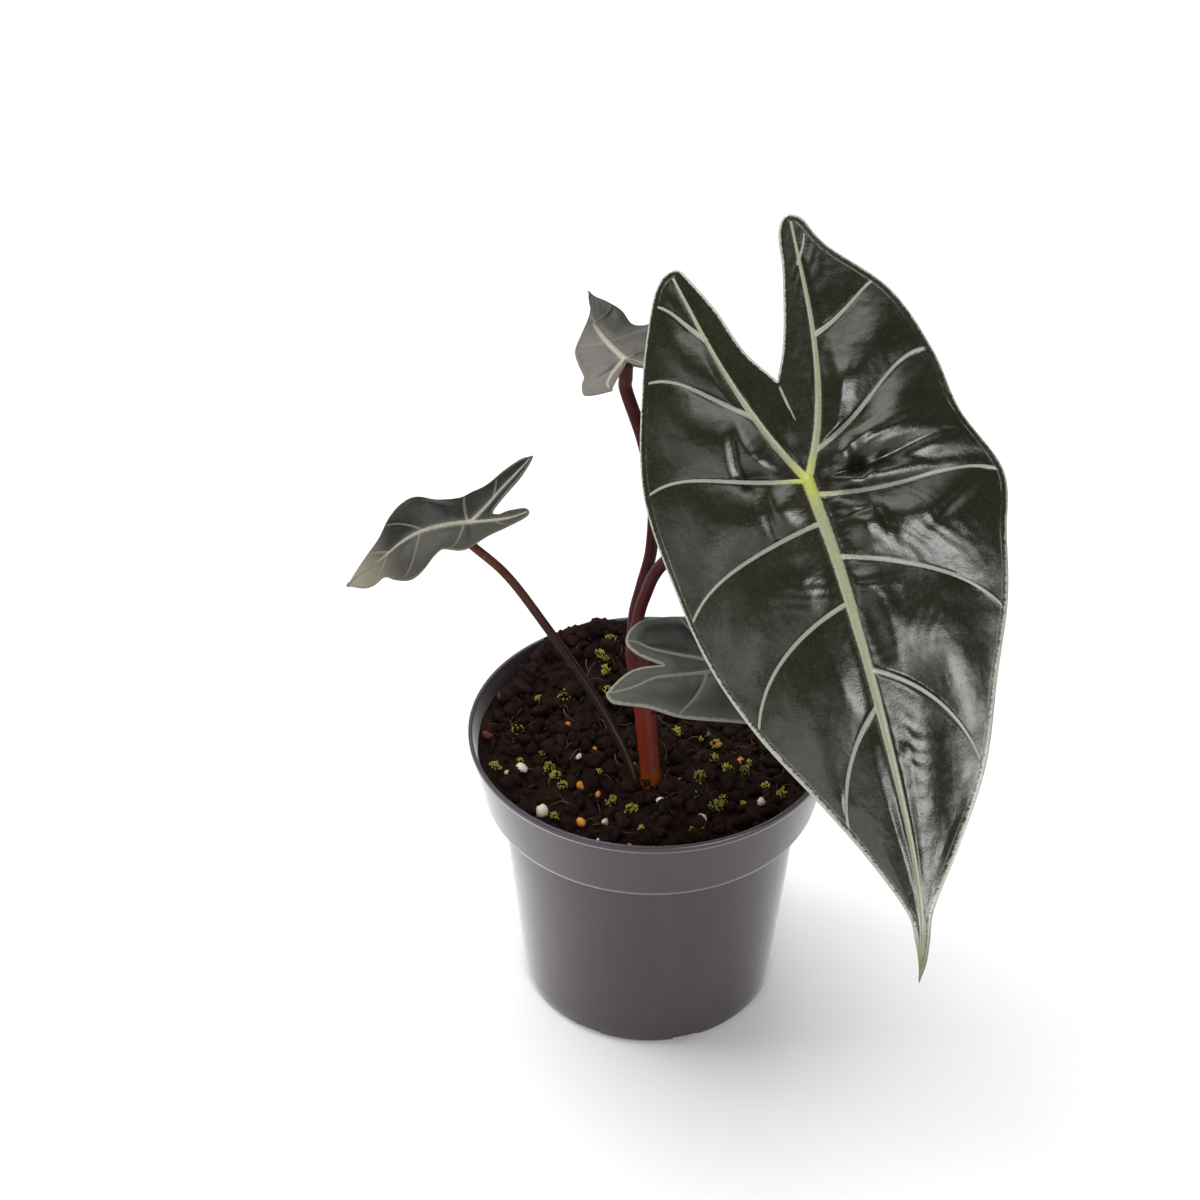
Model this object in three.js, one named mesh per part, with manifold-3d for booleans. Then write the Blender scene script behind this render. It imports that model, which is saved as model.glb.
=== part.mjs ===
// A young arrow-leaved house plant in a plain nursery pot.
// Millimetres, +Z up. The origin is the middle of the pot's flat underside, and -Y is the front.
import * as THREE from "three";
import { mergeVertices } from "three/addons/utils/BufferGeometryUtils.js";
import Module from "manifold-3d";

const wasm = await Module();
wasm.setup();
const { clamp, degToRad, lerp, smoothstep } = THREE.MathUtils;

// Driving dimensions
const GAP = 0.3;
const POT_HEIGHT = 104;
const RIM_RADIUS = 60;
const BAND_FOOT_RADIUS = 55.6;
const BAND_FOOT_HEIGHT = 80.5;
const BODY_TOP_RADIUS = 49.4;
const BODY_TOP_HEIGHT = 76.5;
const BODY_FOOT_RADIUS = 43.4;
const FOOT_BEVEL = 3;
const WALL = 1.2;
const FLOOR = 1.8;
const POT_SIDES = 56;
const DRAIN_SLOTS = 8;
const DRAIN_FIRST_ANGLE = -117;
const DRAIN_SLOT = { depth: 12, width: 9, height: 2.5 };

const SOIL_LEVEL = 97;
const SOIL_RADIUS = RIM_RADIUS - 3.6;
const SOIL_RINGS = 11;
const SOIL_SIDES = 44;
// Low humps of the soil: [x, y, height, spread]
const MOUNDS = [[-18, 38, 5.5, 20], [0, 4, 2.5, 30]];
const CRUMBS = 34;
const CRUMB_FIELD = 52;
const CRUMB_SIZES = [1.8, 4.2];

const CROWN_SIDES = 14;
const STEM_SIDES = 10;
const STEM_STEPS = 16;
const HOLE_DEPTH = 30;

const LEAF_THICKNESS = 0.9;
const VEIN_SHARE = 0.6;
const FULL_PUFF_SPAN = 12;
// Shares of the way from a rib to the edge, past the foot of the rib's ridge
const ACROSS_STEPS = [0.2, 0.4, 0.6, 0.8, 0.93, 1];
const INNER_STEPS = [0.6, 1];

const COLOURS = {
  pot: 0x5c565c,
  soil: 0x1d1310,
  stem: 0x5a1c1a,
  darkBlade: 0x2f2f22,
  greyBlade: 0x4d5145,
};

// Stems: each is a list of points along its middle, with its radius at both ends. A stem with a leaf
// ends in a straight length that meets the leaf's underside squarely.
const CROWN = {
  route: [[0, -21, 84], [0, -21, 98], [-1.2, -20, 114], [-2.6, -18.8, 130], [-5, -17, 146],
    [-5.2, -15.4, 158]],
  radii: [3.7, 3.9],
};
const MAIN_STEM = {
  route: [[-4.7, -17, 159.2], [-2.6, -17.6, 169], [2, -20, 182], [14, -26, 198], [32, -34, 216]],
  radii: [1.7, 2.3],
};
const BACK_STEM = {
  route: [[-5.8, -13.2, 158.9], [-3.6, -12, 169], [-0.8, -9, 181], [-0.5, -2, 197], [-4, 7, 210]],
  radii: [1.7, 1.9],
};
const LEFT_STEM = {
  route: [[-3.6, -24, 86], [-5, -22.6, 98], [-9.2, -19.7, 110.8], [-20, -15, 131], [-33.8, -8.4, 150.5],
    [-46, -2, 165]],
  radii: [2.1, 1.3],
};
const MIDDLE_STEM = {
  route: [[-2, -19.5, 124], [4, -22, 130], [14, -29, 139]],
  radii: [1.6, 1.4],
};

// Leaves: points are [towards the tip, across, lift] in the flat blade, from where the stem joins it.
// A vein is [where it leaves the rib, how far towards the tip it reaches the edge, how much it bows].
// A place before the stem joint counts backwards along the lobe's own rib.
const MAIN_LEAF = {
  at: [41.7, -61.4, 240.7], heading: 23.3, pitch: 47, roll: 25.4,
  lines: 14, length: 143, backLength: 76, arch: 17, backArch: 9, fold: 12, curl: 15, curlWidth: 52,
  ribHeight: 1.7, underHeight: 2.6, ribFoot: 2.4, puff: 2.6,
  midrib: [[0, 0], [25, 2], [60, 2.5], [100, 1.2], [125, -2], [143, -7.5]],
  halves: [
    {
      margin: [[-69, -22], [-61, -32], [-40, -41], [-11, -48.5, 1], [20, -48, -1], [44, -43],
        [66, -33.5, 1], [87, -22], [105, -13, -1], [122, -4.8], [131, -4.8], [143, -7.5]],
      inner: [[-29, -1], [-40, -8], [-54, -13], [-66, -19.5], [-69, -22]],
      rib: [[0, 0], [-16, -8], [-39, -16], [-69, -22]],
      veins: [[-50, -62, 1], [-23, -41, 3], [0, -9, 3], [12, 31, 9], [35, 66, 13], [64, 99, 8]],
    },
    {
      margin: [[-75, 15], [-64, 22.5], [-48, 37], [-28, 44, 1], [-10, 47.5], [10, 56, -1], [28, 51],
        [46, 46, 1], [66, 37], [88, 27, -1], [107, 14], [123, 2], [132, -2.3], [143, -7.5]],
      inner: [[-29, -1], [-40, 3.5], [-58, 8], [-71, 11.5], [-75, 15]],
      rib: [[0, 0], [-16, 7], [-40, 12], [-75, 15]],
      veins: [[-41, -52, -2], [-8, -29, -2], [4, 10, -1], [22, 49, 9], [54, 90, 12]],
    },
  ],
};
const LEFT_LEAF = {
  at: [-57, 2.7, 181.3], heading: -70, pitch: -6, roll: -4,
  lines: 8, length: 46, backLength: 24, arch: 44, backArch: -30, fold: 4, curl: 10, curlWidth: 17,
  ribHeight: 0.8, underHeight: 1.2, ribFoot: 1.2, puff: 1,
  midrib: [[0, 0], [17, 0], [31, 0, -4], [46, 0, -5]],
  halves: [
    {
      margin: [[-28, -12, 8], [-18, -15, 7], [-9, -17, 2], [3, -18, -1], [12, -18, 2.5], [21, -15.5, 1.5],
        [30, -10, -3], [39, -4, -4.5], [46, 0, -5]],
      inner: [[-8, 0, 2], [-13, -4, 2.5], [-20, -8.5, 4.5], [-28, -12, 8]],
      rib: [[0, 0], [-12, -6.5, 2.5], [-28, -12, 8]],
      veins: [[-13, -13, 0], [1, 4, -1], [14, 21, 2], [26, 34, 2]],
    },
    {
      margin: [[-18, 10, 9], [-11, 13.5, 10], [0, 15.5, 8], [8, 16.5, 7.5], [15, 16, 5], [22, 15, -1.5],
        [30, 11.5, -2.5], [38, 6.5, -5], [46, 0, -5]],
      inner: [[-8, 0, 2], [-11, 4, 4.5], [-18, 10, 9]],
      rib: [[0, 0], [-8, 4.5, 3], [-18, 10, 9]],
      veins: [[-8, -9, 0], [1, 6, 1], [14, 24, 3], [26, 35, 2]],
    },
  ],
};
const BACK_LEAF = {
  at: [-9.7, 15, 233], heading: -152, pitch: 6, roll: 0,
  lines: 8, length: 44, backLength: 20, arch: -12, backArch: 4, fold: 4, curl: 8, curlWidth: 18,
  ribHeight: 0.8, underHeight: 1.2, ribFoot: 1.2, puff: 1,
  midrib: [[0, 0], [14, -0.5], [30, -2.5, 1], [44, -7, 4]],
  halves: [
    {
      margin: [[-17, -11], [-12, -17], [0, -20.5, 1], [12, -21, 0], [22, -18.5, -3], [31, -14.5, 1],
        [38, -10.5, 3], [44, -7, 4]],
      inner: [[-6, 0], [-11, -5], [-17, -11]],
      rib: [[0, 0], [-8, -5.5], [-17, -11]],
      veins: [[-7, -9, 0], [1, 6, 1], [13, 23, 2.5], [25, 34, 2]],
    },
    {
      margin: [[-15, 12.5], [-11, 18, -1], [-1, 16, 1], [9, 12.5], [17, 9, -1], [25, 4.5], [34, -1, 2],
        [44, -7, 4]],
      inner: [[-6, 0], [-10, 6], [-15, 12.5]],
      rib: [[0, 0], [-7, 6], [-15, 12.5]],
      veins: [[-7, -7, 0], [1, 5, 1], [13, 20, 2.5], [25, 31, 1.5]],
    },
  ],
};
const MIDDLE_LEAF = {
  at: [23.4, -38, 157.2], heading: 90, pitch: 4, roll: 18,
  lines: 9, length: 62, backLength: 36, arch: 22, backArch: 6, fold: 4, curl: 10, curlWidth: 20,
  ribHeight: 0.9, underHeight: 1.3, ribFoot: 1.3, puff: 1.2,
  midrib: [[0, 0], [20, 0.3], [42, 0], [62, -1]],
  halves: [
    {
      margin: [[-37, -10.5], [-33, -13.4], [-24, -14.4], [-14, -17.4, 0.5], [0, -17.6], [16, -17, -0.5],
        [32, -13, 0.5], [46, -7], [55, -2.6], [62, -1]],
      inner: [[-21, 0], [-27, -1.2], [-33, -5.2], [-37, -10.5]],
      rib: [[0, 0], [-14, -3], [-28, -8], [-37, -10.5]],
      veins: [[-5, -13, -2], [3, 9, 1], [17, 31, 4], [33, 47, 3]],
    },
    {
      margin: [[-32, 9], [-31, 15], [-25, 19.4], [-16, 21.2, -0.5], [0, 20.5], [16, 18.5, 0.5],
        [32, 13.5, -0.5], [46, 6.5], [55, 1.6], [62, -1]],
      inner: [[-21, 0], [-26, 2], [-30, 5.4], [-32, 9]],
      rib: [[0, 0], [-12, 2.8], [-24, 6.4], [-32, 9]],
      veins: [[-6, -15, -2], [3, 9, 1], [17, 31, 4], [33, 47, 3]],
    },
  ],
};

// A repeatable random draw
function seeded(seed) {
  let state = seed;
  return () => {
    state = (state * 1664525 + 1013904223) % 4294967296;
    return state / 4294967296;
  };
}

// Solids and meshes
function toSolid(geometry) {
  const plain = geometry.clone();
  plain.deleteAttribute("normal");
  plain.deleteAttribute("uv");
  const merged = mergeVertices(plain);
  return new wasm.Manifold(new wasm.Mesh({
    numProp: 3,
    vertProperties: new Float32Array(merged.attributes.position.array),
    triVerts: new Uint32Array(merged.index.array),
  }));
}

function toGeometry(solid) {
  const mesh = solid.getMesh();
  return indexedGeometry(mesh.vertProperties, mesh.triVerts);
}

function indexedGeometry(positions, triangles) {
  const geometry = new THREE.BufferGeometry();
  geometry.setAttribute("position", new THREE.BufferAttribute(new Float32Array(positions), 3));
  geometry.setIndex(new THREE.BufferAttribute(new Uint32Array(triangles), 1));
  geometry.computeVertexNormals();
  return geometry;
}

function part(name, geometry, colour, roughness) {
  const material = new THREE.MeshStandardMaterial({ color: colour, roughness, metalness: 0 });
  const mesh = new THREE.Mesh(geometry, material);
  mesh.name = name;
  return mesh;
}

// Pot: a thin turned shell with drain slots cut through the edge of its foot
function innerWall(inset) {
  const wall = WALL + inset;
  return [
    [BODY_FOOT_RADIUS - wall - 0.6, FLOOR + inset],
    [BODY_TOP_RADIUS - wall, BODY_TOP_HEIGHT],
    [BODY_TOP_RADIUS - wall + 0.6, BODY_TOP_HEIGHT + 2],
    [BAND_FOOT_RADIUS - wall, BAND_FOOT_HEIGHT + 1],
  ];
}

function turned(points, sides) {
  const outline = points.map(([radius, height]) => new THREE.Vector2(radius, height));
  return new THREE.LatheGeometry(outline, sides).rotateX(Math.PI / 2);
}

function potGeometry() {
  const foot = [
    [0, 0],
    [BODY_FOOT_RADIUS - FOOT_BEVEL, 0],
    [BODY_FOOT_RADIUS - 0.4 * FOOT_BEVEL, 0.25 * FOOT_BEVEL],
    [BODY_FOOT_RADIUS - 0.1 * FOOT_BEVEL, FOOT_BEVEL],
  ];
  const step = [
    [BODY_TOP_RADIUS, BODY_TOP_HEIGHT],
    [BODY_TOP_RADIUS + WALL, BODY_TOP_HEIGHT + WALL],
    [BAND_FOOT_RADIUS - 0.7 * WALL, BAND_FOOT_HEIGHT - 0.8 * WALL],
    [BAND_FOOT_RADIUS, BAND_FOOT_HEIGHT],
  ];
  const rim = [
    [RIM_RADIUS - 0.5 * WALL, POT_HEIGHT - 2 * WALL],
    [RIM_RADIUS, POT_HEIGHT - 1.4 * WALL],
    [RIM_RADIUS - 0.2 * WALL, POT_HEIGHT],
    [RIM_RADIUS - WALL, POT_HEIGHT],
    [RIM_RADIUS - 1.6 * WALL, POT_HEIGHT - 2.5 * WALL],
  ];
  let pot = toSolid(turned([...foot, ...step, ...rim, ...innerWall(0).reverse(), [0, FLOOR]], POT_SIDES));
  for (let i = 0; i < DRAIN_SLOTS; i += 1) {
    const slot = new THREE.BoxGeometry(DRAIN_SLOT.depth, DRAIN_SLOT.width, 2 * DRAIN_SLOT.height);
    slot.translate(BODY_FOOT_RADIUS, 0, 0);
    slot.rotateZ(degToRad(DRAIN_FIRST_ANGLE + (360 / DRAIN_SLOTS) * i));
    pot = pot.subtract(toSolid(slot));
  }
  return toGeometry(pot);
}

// Soil: fills the pot, with an uneven top, crumbs sunk into it and plain holes for the stems
function soilHeight(x, y) {
  const broad = 1.1 * Math.sin(x / 6.1 + 1) * Math.cos(y / 5.3);
  const fine = 0.7 * Math.sin(x / 2.9 + y / 3.7);
  let height = broad + fine;
  for (const [moundX, moundY, rise, spread] of MOUNDS) {
    height += rise * Math.exp(-((x - moundX) ** 2 + (y - moundY) ** 2) / spread ** 2);
  }
  const nearWall = smoothstep(Math.hypot(x, y), 0.7 * SOIL_RADIUS, SOIL_RADIUS);
  return SOIL_LEVEL + height * (1 - 0.6 * nearWall);
}

function crumb(random) {
  const angle = random() * 2 * Math.PI;
  const reach = CRUMB_FIELD * Math.sqrt(random());
  const size = lerp(...CRUMB_SIZES, random() ** 2);
  const stone = new THREE.IcosahedronGeometry(size, 0);
  stone.scale(1, 0.75 + 0.4 * random(), 0.7 + 0.3 * random());
  stone.rotateZ(random() * Math.PI);
  stone.rotateX(random() * Math.PI);
  const x = reach * Math.cos(angle);
  const y = reach * Math.sin(angle);
  stone.translate(x, y, soilHeight(x, y) + 0.15 * size);
  return toSolid(stone);
}

function soilGeometry(stems) {
  const outline = [[0, FLOOR + GAP], ...innerWall(GAP)];
  for (let ring = SOIL_RINGS; ring >= 0; ring -= 1) {
    outline.push([(SOIL_RADIUS * ring) / SOIL_RINGS, SOIL_LEVEL]);
  }
  const body = turned(outline, SOIL_SIDES);
  const points = body.attributes.position;
  for (let i = 0; i < points.count; i += 1) {
    if (points.getZ(i) > SOIL_LEVEL - 0.01) {
      points.setZ(i, soilHeight(points.getX(i), points.getY(i)));
    }
  }
  const random = seeded(7);
  let soil = toSolid(body);
  for (let i = 0; i < CRUMBS; i += 1) {
    soil = soil.add(crumb(random));
  }
  for (const stem of stems) {
    soil = soil.subtract(toSolid(stemHole(stem)));
  }
  return toGeometry(soil);
}

// Stems: a tapered rod bent along a smooth curve
function bentRod(route, radii, sides, steps) {
  const curve = new THREE.CatmullRomCurve3(route.map((point) => new THREE.Vector3(...point)));
  const rod = new THREE.CylinderGeometry(radii[1], radii[0], 1, sides, steps);
  const frames = curve.computeFrenetFrames(steps);
  const points = rod.attributes.position;
  for (let i = 0; i < points.count; i += 1) {
    const t = points.getY(i) + 0.5;
    const step = Math.round(t * steps);
    const place = curve.getPointAt(t);
    place.addScaledVector(frames.normals[step], -points.getX(i));
    place.addScaledVector(frames.binormals[step], points.getZ(i));
    points.setXYZ(i, place.x, place.y, place.z);
  }
  return rod;
}

function stemRod(stem, grow = 0) {
  const sides = stem === CROWN ? CROWN_SIDES : STEM_SIDES;
  return bentRod(stem.route, stem.radii.map((radius) => radius + grow), sides, STEM_STEPS);
}

function stemHole(stem) {
  const [foot, next] = stem.route.map((point) => new THREE.Vector3(...point));
  const upward = next.clone().sub(foot).normalize();
  const low = foot.clone().addScaledVector(upward, -GAP);
  const high = foot.clone().addScaledVector(upward, HOLE_DEPTH);
  const radius = stem.radii[0] + GAP;
  return bentRod([low.toArray(), high.toArray()], [radius + 0.1, radius + 0.5], CROWN_SIDES, 1);
}

function clearOfCrown(stem) {
  const crown = toSolid(stemRod(CROWN, GAP));
  const pieces = toSolid(stemRod(stem)).subtract(crown).decompose();
  pieces.sort((a, b) => b.volume() - a.volume());
  return toGeometry(pieces[0]);
}

// Leaves
class FlatLine {
  // A smooth line through a few chosen points of the flat blade
  constructor(points) {
    const anchors = points.map(([u, v, lift = 0]) => new THREE.Vector3(u, v, lift));
    this.curve = new THREE.CatmullRomCurve3(anchors, false, "catmullrom", 0.5);
    this.curve.arcLengthDivisions = 400;
    this.length = this.curve.getLength();
  }

  at(fraction) {
    return this.curve.getPointAt(clamp(fraction, 0, 1));
  }

  whereAlong(u) {
    let low = 0;
    let high = 1;
    for (let i = 0; i < 40; i += 1) {
      const middle = (low + high) / 2;
      if (this.at(middle).x < u) low = middle;
      else high = middle;
    }
    return low;
  }
}

// The veins of one half in order from its lobe to the tip, with the lines drawn between each two
function crossLines(leaf, half, ribs) {
  const ends = [[-ribs.lobe.length, 0, 0]];
  for (const [start, reach, bow] of half.veins) ends.push([start, ribs.margin.whereAlong(reach), bow]);
  ends.push([ribs.midrib.length, 1, 0]);
  const joint = ends.findIndex(([start]) => start >= 0);
  if (ends[joint][0] > 0) {
    const [a, b] = [ends[joint - 1], ends[joint]];
    const share = -a[0] / (b[0] - a[0]);
    ends.splice(joint, 0, [0, a[1] + (b[1] - a[1]) * share, 0, true]);
  }
  const lines = [];
  for (let i = 0; i + 1 < ends.length; i += 1) {
    const [a, b] = [ends[i], ends[i + 1]];
    const gap = Math.max(b[0] - a[0], (b[1] - a[1]) * ribs.margin.length);
    const isVein = i > 0 && !a[3];
    for (const f of fractionsBetween(gap, leaf.length / leaf.lines, isVein, i + 2 < ends.length)) {
      const [start, reach, bow] = [0, 1, 2].map((k) => lerp(a[k], b[k], f));
      lines.push({ f, isVein: f === 0 && isVein, start, reach, bow });
    }
  }
  lines.push({ f: 0, isVein: false, start: ribs.midrib.length, reach: 1, bow: 0 });
  return lines;
}

// Fractions between two veins: close beside each vein, where its ridge ends, and evenly between
function fractionsBetween(gap, step, veinBefore, veinAfter) {
  const foot = Math.min(0.25, (0.3 * step) / gap);
  const first = veinBefore ? foot : 0;
  const last = veinAfter ? 1 - foot : 1;
  const count = Math.max(1, Math.round((gap * (last - first)) / step));
  const fractions = veinBefore ? [0] : [];
  for (let k = 0; k < count; k += 1) fractions.push(lerp(first, last, k / count));
  if (veinAfter) fractions.push(last);
  return fractions;
}

// The flat blade as shared points and triangles
class Blade {
  constructor(leaf) {
    this.leaf = leaf;
    this.points = [];
    this.triangles = [];
    this.known = new Map();
  }

  // Ridge is how far a rib stands out here, as a share of its full height
  point(u, v, lift, ridge) {
    const key = `${u.toFixed(3)},${v.toFixed(3)}`;
    if (!this.known.has(key)) {
      this.known.set(key, this.points.length);
      this.points.push({ u, v, lift, ridge });
    }
    return this.known.get(key);
  }

  grid(rows, flip) {
    for (let i = 0; i + 1 < rows.length; i += 1) {
      for (let j = 0; j + 1 < rows[i].length; j += 1) {
        const [a, b, c, d] = [rows[i][j], rows[i + 1][j], rows[i + 1][j + 1], rows[i][j + 1]];
        this.triangle(a, b, c, flip);
        this.triangle(a, c, d, flip);
      }
    }
  }

  // Joins two rows whose points don't match, going along both at the same pace
  stitch(inner, outer, flip) {
    let [i, j] = [0, 0];
    while (i + 1 < inner.length || j + 1 < outer.length) {
      const innerNext = i + 1 < inner.length ? inner[i + 1].place : Infinity;
      const outerNext = j + 1 < outer.length ? outer[j + 1].place : Infinity;
      if (innerNext <= outerNext) {
        this.triangle(inner[i].index, inner[i + 1].index, outer[j].index, flip);
        i += 1;
      } else {
        this.triangle(inner[i].index, outer[j + 1].index, outer[j].index, flip);
        j += 1;
      }
    }
  }

  triangle(a, b, c, flip) {
    if (a === b || b === c || c === a) return;
    this.triangles.push(flip ? [a, c, b] : [a, b, c]);
  }
}

function outerRows(blade, ribs, lines) {
  const { leaf } = blade;
  return lines.map((line) => {
    const start = line.start < 0
      ? ribs.lobe.at(-line.start / ribs.lobe.length)
      : ribs.midrib.at(line.start / ribs.midrib.length);
    const end = ribs.margin.at(line.reach);
    const chord = end.clone().sub(start);
    const span = Math.hypot(chord.x, chord.y) + 1e-6;
    const bowed = start.clone().add(end).multiplyScalar(0.5);
    bowed.x -= (line.bow * Math.abs(chord.y)) / span;
    bowed.y += (line.bow * chord.x * Math.sign(chord.y)) / span;
    const fade = ribFade(leaf, line.start);
    const puffHeight = leaf.puff * Math.min(1, span / FULL_PUFF_SPAN) * Math.sin(Math.PI * line.f);
    const foot = Math.min(0.1, leaf.ribFoot / span);
    return [0, foot, ...ACROSS_STEPS].map((t) => {
      const pastFoot = Math.max(0, t - foot) / (1 - foot);
      const flat = start.clone().multiplyScalar((1 - t) ** 2);
      flat.addScaledVector(bowed, 2 * t * (1 - t)).addScaledVector(end, t * t);
      const lift = lerp(start.z, end.z, t ** 1.5) + puffHeight * Math.sin(Math.PI * pastFoot ** 0.7);
      const rib = t === 0 ? fade : 0;
      const vein = line.isVein ? VEIN_SHARE * (1 - t) * Math.min(1, fade + 0.3) : 0;
      return blade.point(flat.x, flat.y, lift, Math.max(rib, vein));
    });
  });
}

// How strong the ribs still are at this place, which counts from the stem joint
function ribFade(leaf, place) {
  const reach = place < 0 ? -place / leaf.backLength : place / leaf.length;
  return Math.max(0, 1 - reach) ** 0.7;
}

function innerRows(blade, ribs, lines) {
  const { leaf } = blade;
  return lines.filter((line) => line.start <= 0).map((line) => {
    const share = -line.start / ribs.lobe.length;
    const start = ribs.lobe.at(share);
    const end = ribs.inner.at(share);
    const foot = Math.min(0.3, leaf.ribFoot / (start.distanceTo(end) + 1e-6));
    return [0, foot, ...INNER_STEPS].map((t) => {
      const flat = start.clone().lerp(end, t);
      return blade.point(flat.x, flat.y, flat.z, t === 0 ? ribFade(leaf, line.start) : 0);
    });
  });
}

// Bends a point of the flat blade into its arched, folded place in space
function bendMap(leaf) {
  const [heading, pitch, roll] = [leaf.heading, leaf.pitch, leaf.roll].map(degToRad);
  const level = new THREE.Vector3(Math.sin(heading), -Math.cos(heading), 0);
  const zenith = new THREE.Vector3(0, 0, 1);
  const along = level.clone().multiplyScalar(Math.cos(pitch)).addScaledVector(zenith, -Math.sin(pitch));
  const upright = level.clone().multiplyScalar(Math.sin(pitch)).addScaledVector(zenith, Math.cos(pitch));
  const sideways = upright.clone().cross(along);
  const across = sideways.clone().multiplyScalar(Math.cos(roll)).addScaledVector(upright, Math.sin(roll));
  const up = upright.clone().multiplyScalar(Math.cos(roll)).addScaledVector(sideways, -Math.sin(roll));
  const midrib = new FlatLine(leaf.midrib);
  const origin = new THREE.Vector3(...leaf.at);
  return (u, v, height) => {
    const rate = degToRad(u < 0 ? leaf.backArch / leaf.backLength : leaf.arch / leaf.length);
    const turn = rate * u * (u < 0 ? -1 : 1);
    const forward = (Math.sign(u) * Math.sin(turn)) / rate;
    const drop = (1 - Math.cos(turn)) / rate;
    const tilt = Math.sign(u) * turn;
    const localUp = up.clone().multiplyScalar(Math.cos(tilt)).addScaledVector(along, Math.sin(tilt));
    const sway = u > 0 ? midrib.at(midrib.whereAlong(u)).y : 0;
    const side = v - sway;
    const fold = degToRad(leaf.fold);
    const bendRate = degToRad(leaf.curl) / leaf.curlWidth;
    const slope = fold + bendRate * Math.abs(side);
    const reach = (Math.sin(slope) - Math.sin(fold)) / bendRate;
    const fall = (Math.cos(fold) - Math.cos(slope)) / bendRate;
    const place = origin.clone().addScaledVector(along, forward).addScaledVector(up, -drop);
    place.addScaledVector(across, sway + Math.sign(side) * reach).addScaledVector(localUp, -fall);
    place.addScaledVector(localUp, Math.cos(slope) * height);
    place.addScaledVector(across, Math.sign(side) * Math.sin(slope) * height);
    return place;
  };
}

function leafGeometry(leaf) {
  const blade = new Blade(leaf);
  const halves = leaf.halves.map((half) => {
    const ribs = {
      margin: new FlatLine(half.margin),
      inner: new FlatLine(half.inner),
      lobe: new FlatLine(half.rib),
      midrib: new FlatLine(leaf.midrib),
    };
    return { ribs, lines: crossLines(leaf, half, ribs) };
  });
  const starts = halves.flatMap(({ lines }) => lines.map(({ start }) => start));
  const midribPlaces = [...new Set(starts.filter((start) => start >= 0))].sort((a, b) => a - b);
  const midribPoints = midribPlaces.map((place) => {
    const { x, y, z } = halves[0].ribs.midrib.at(place / halves[0].ribs.midrib.length);
    return { place, index: blade.point(x, y, z, ribFade(leaf, place)) };
  });
  halves.forEach(({ ribs, lines }, side) => {
    const rows = outerRows(blade, ribs, lines);
    const joint = lines.findIndex(({ start }) => start >= 0);
    const besideMidrib = lines.slice(joint).map(({ start }, i) => {
      return { place: start, index: rows[joint + i][1] };
    });
    blade.grid(rows.slice(0, joint + 1), side === 0);
    blade.grid(rows.slice(joint).map((row) => row.slice(1)), side === 0);
    blade.stitch(midribPoints, besideMidrib, side === 0);
    blade.grid(innerRows(blade, ribs, lines), side === 1);
  });
  const bend = bendMap(leaf);
  const count = blade.points.length;
  const positions = new Float32Array(count * 6);
  blade.points.forEach(({ u, v, lift, ridge }, i) => {
    const above = LEAF_THICKNESS / 2 + ridge * leaf.ribHeight;
    const below = LEAF_THICKNESS / 2 + ridge * leaf.underHeight;
    bend(u, v, lift + above).toArray(positions, i * 3);
    bend(u, v, lift - below).toArray(positions, (count + i) * 3);
  });
  const triangles = [];
  const edges = new Map();
  for (const [a, b, c] of blade.triangles) {
    triangles.push(a, b, c, count + a, count + c, count + b);
    for (const [from, to] of [[a, b], [b, c], [c, a]]) {
      if (!edges.delete(`${to},${from}`)) edges.set(`${from},${to}`, [from, to]);
    }
  }
  for (const [from, to] of edges.values()) {
    triangles.push(from, count + from, to, to, count + from, count + to);
  }
  return indexedGeometry(positions, triangles);
}

// Ends a stem's route in a straight length square to the underside of its leaf
function reachLeaf(stem, leaf) {
  const bend = bendMap(leaf);
  const surface = LEAF_THICKNESS / 2 + leaf.underHeight + GAP;
  const straight = 4 * stem.radii[1];
  const depths = [surface + straight, surface + straight / 2, surface];
  const last = depths.map((depth) => bend(0, 0, -depth).toArray());
  return { ...stem, route: [...stem.route, ...last] };
}

const leftStem = reachLeaf(LEFT_STEM, LEFT_LEAF);
const plant = new THREE.Group();
plant.add(
  part("pot", potGeometry(), COLOURS.pot, 0.5),
  part("soil", soilGeometry([CROWN, leftStem]), COLOURS.soil, 0.95),
  part("crown", stemRod(CROWN), COLOURS.stem, 0.5),
  part("main_stem", stemRod(reachLeaf(MAIN_STEM, MAIN_LEAF)), COLOURS.stem, 0.45),
  part("back_stem", stemRod(reachLeaf(BACK_STEM, BACK_LEAF)), COLOURS.stem, 0.45),
  part("left_stem", clearOfCrown(leftStem), COLOURS.stem, 0.45),
  part("middle_stem", clearOfCrown(reachLeaf(MIDDLE_STEM, MIDDLE_LEAF)), COLOURS.stem, 0.45),
  part("main_leaf", leafGeometry(MAIN_LEAF), COLOURS.darkBlade, 0.35),
  part("back_leaf", leafGeometry(BACK_LEAF), COLOURS.greyBlade, 0.5),
  part("left_leaf", leafGeometry(LEFT_LEAF), COLOURS.greyBlade, 0.5),
  part("middle_leaf", leafGeometry(MIDDLE_LEAF), COLOURS.greyBlade, 0.5),
);

export default plant;
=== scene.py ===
# A young arrow-leaved house plant in a plain nursery pot, with its finished surfaces.
# Shapes are given in millimetres in the plant's own frame, as in its solids: +Z is up, and the
# origin is the middle of the pot's underside. new_object turns them into metres.
import math
import random
from types import SimpleNamespace

import bmesh
import bpy
import numpy as np
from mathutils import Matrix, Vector, noise


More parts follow.
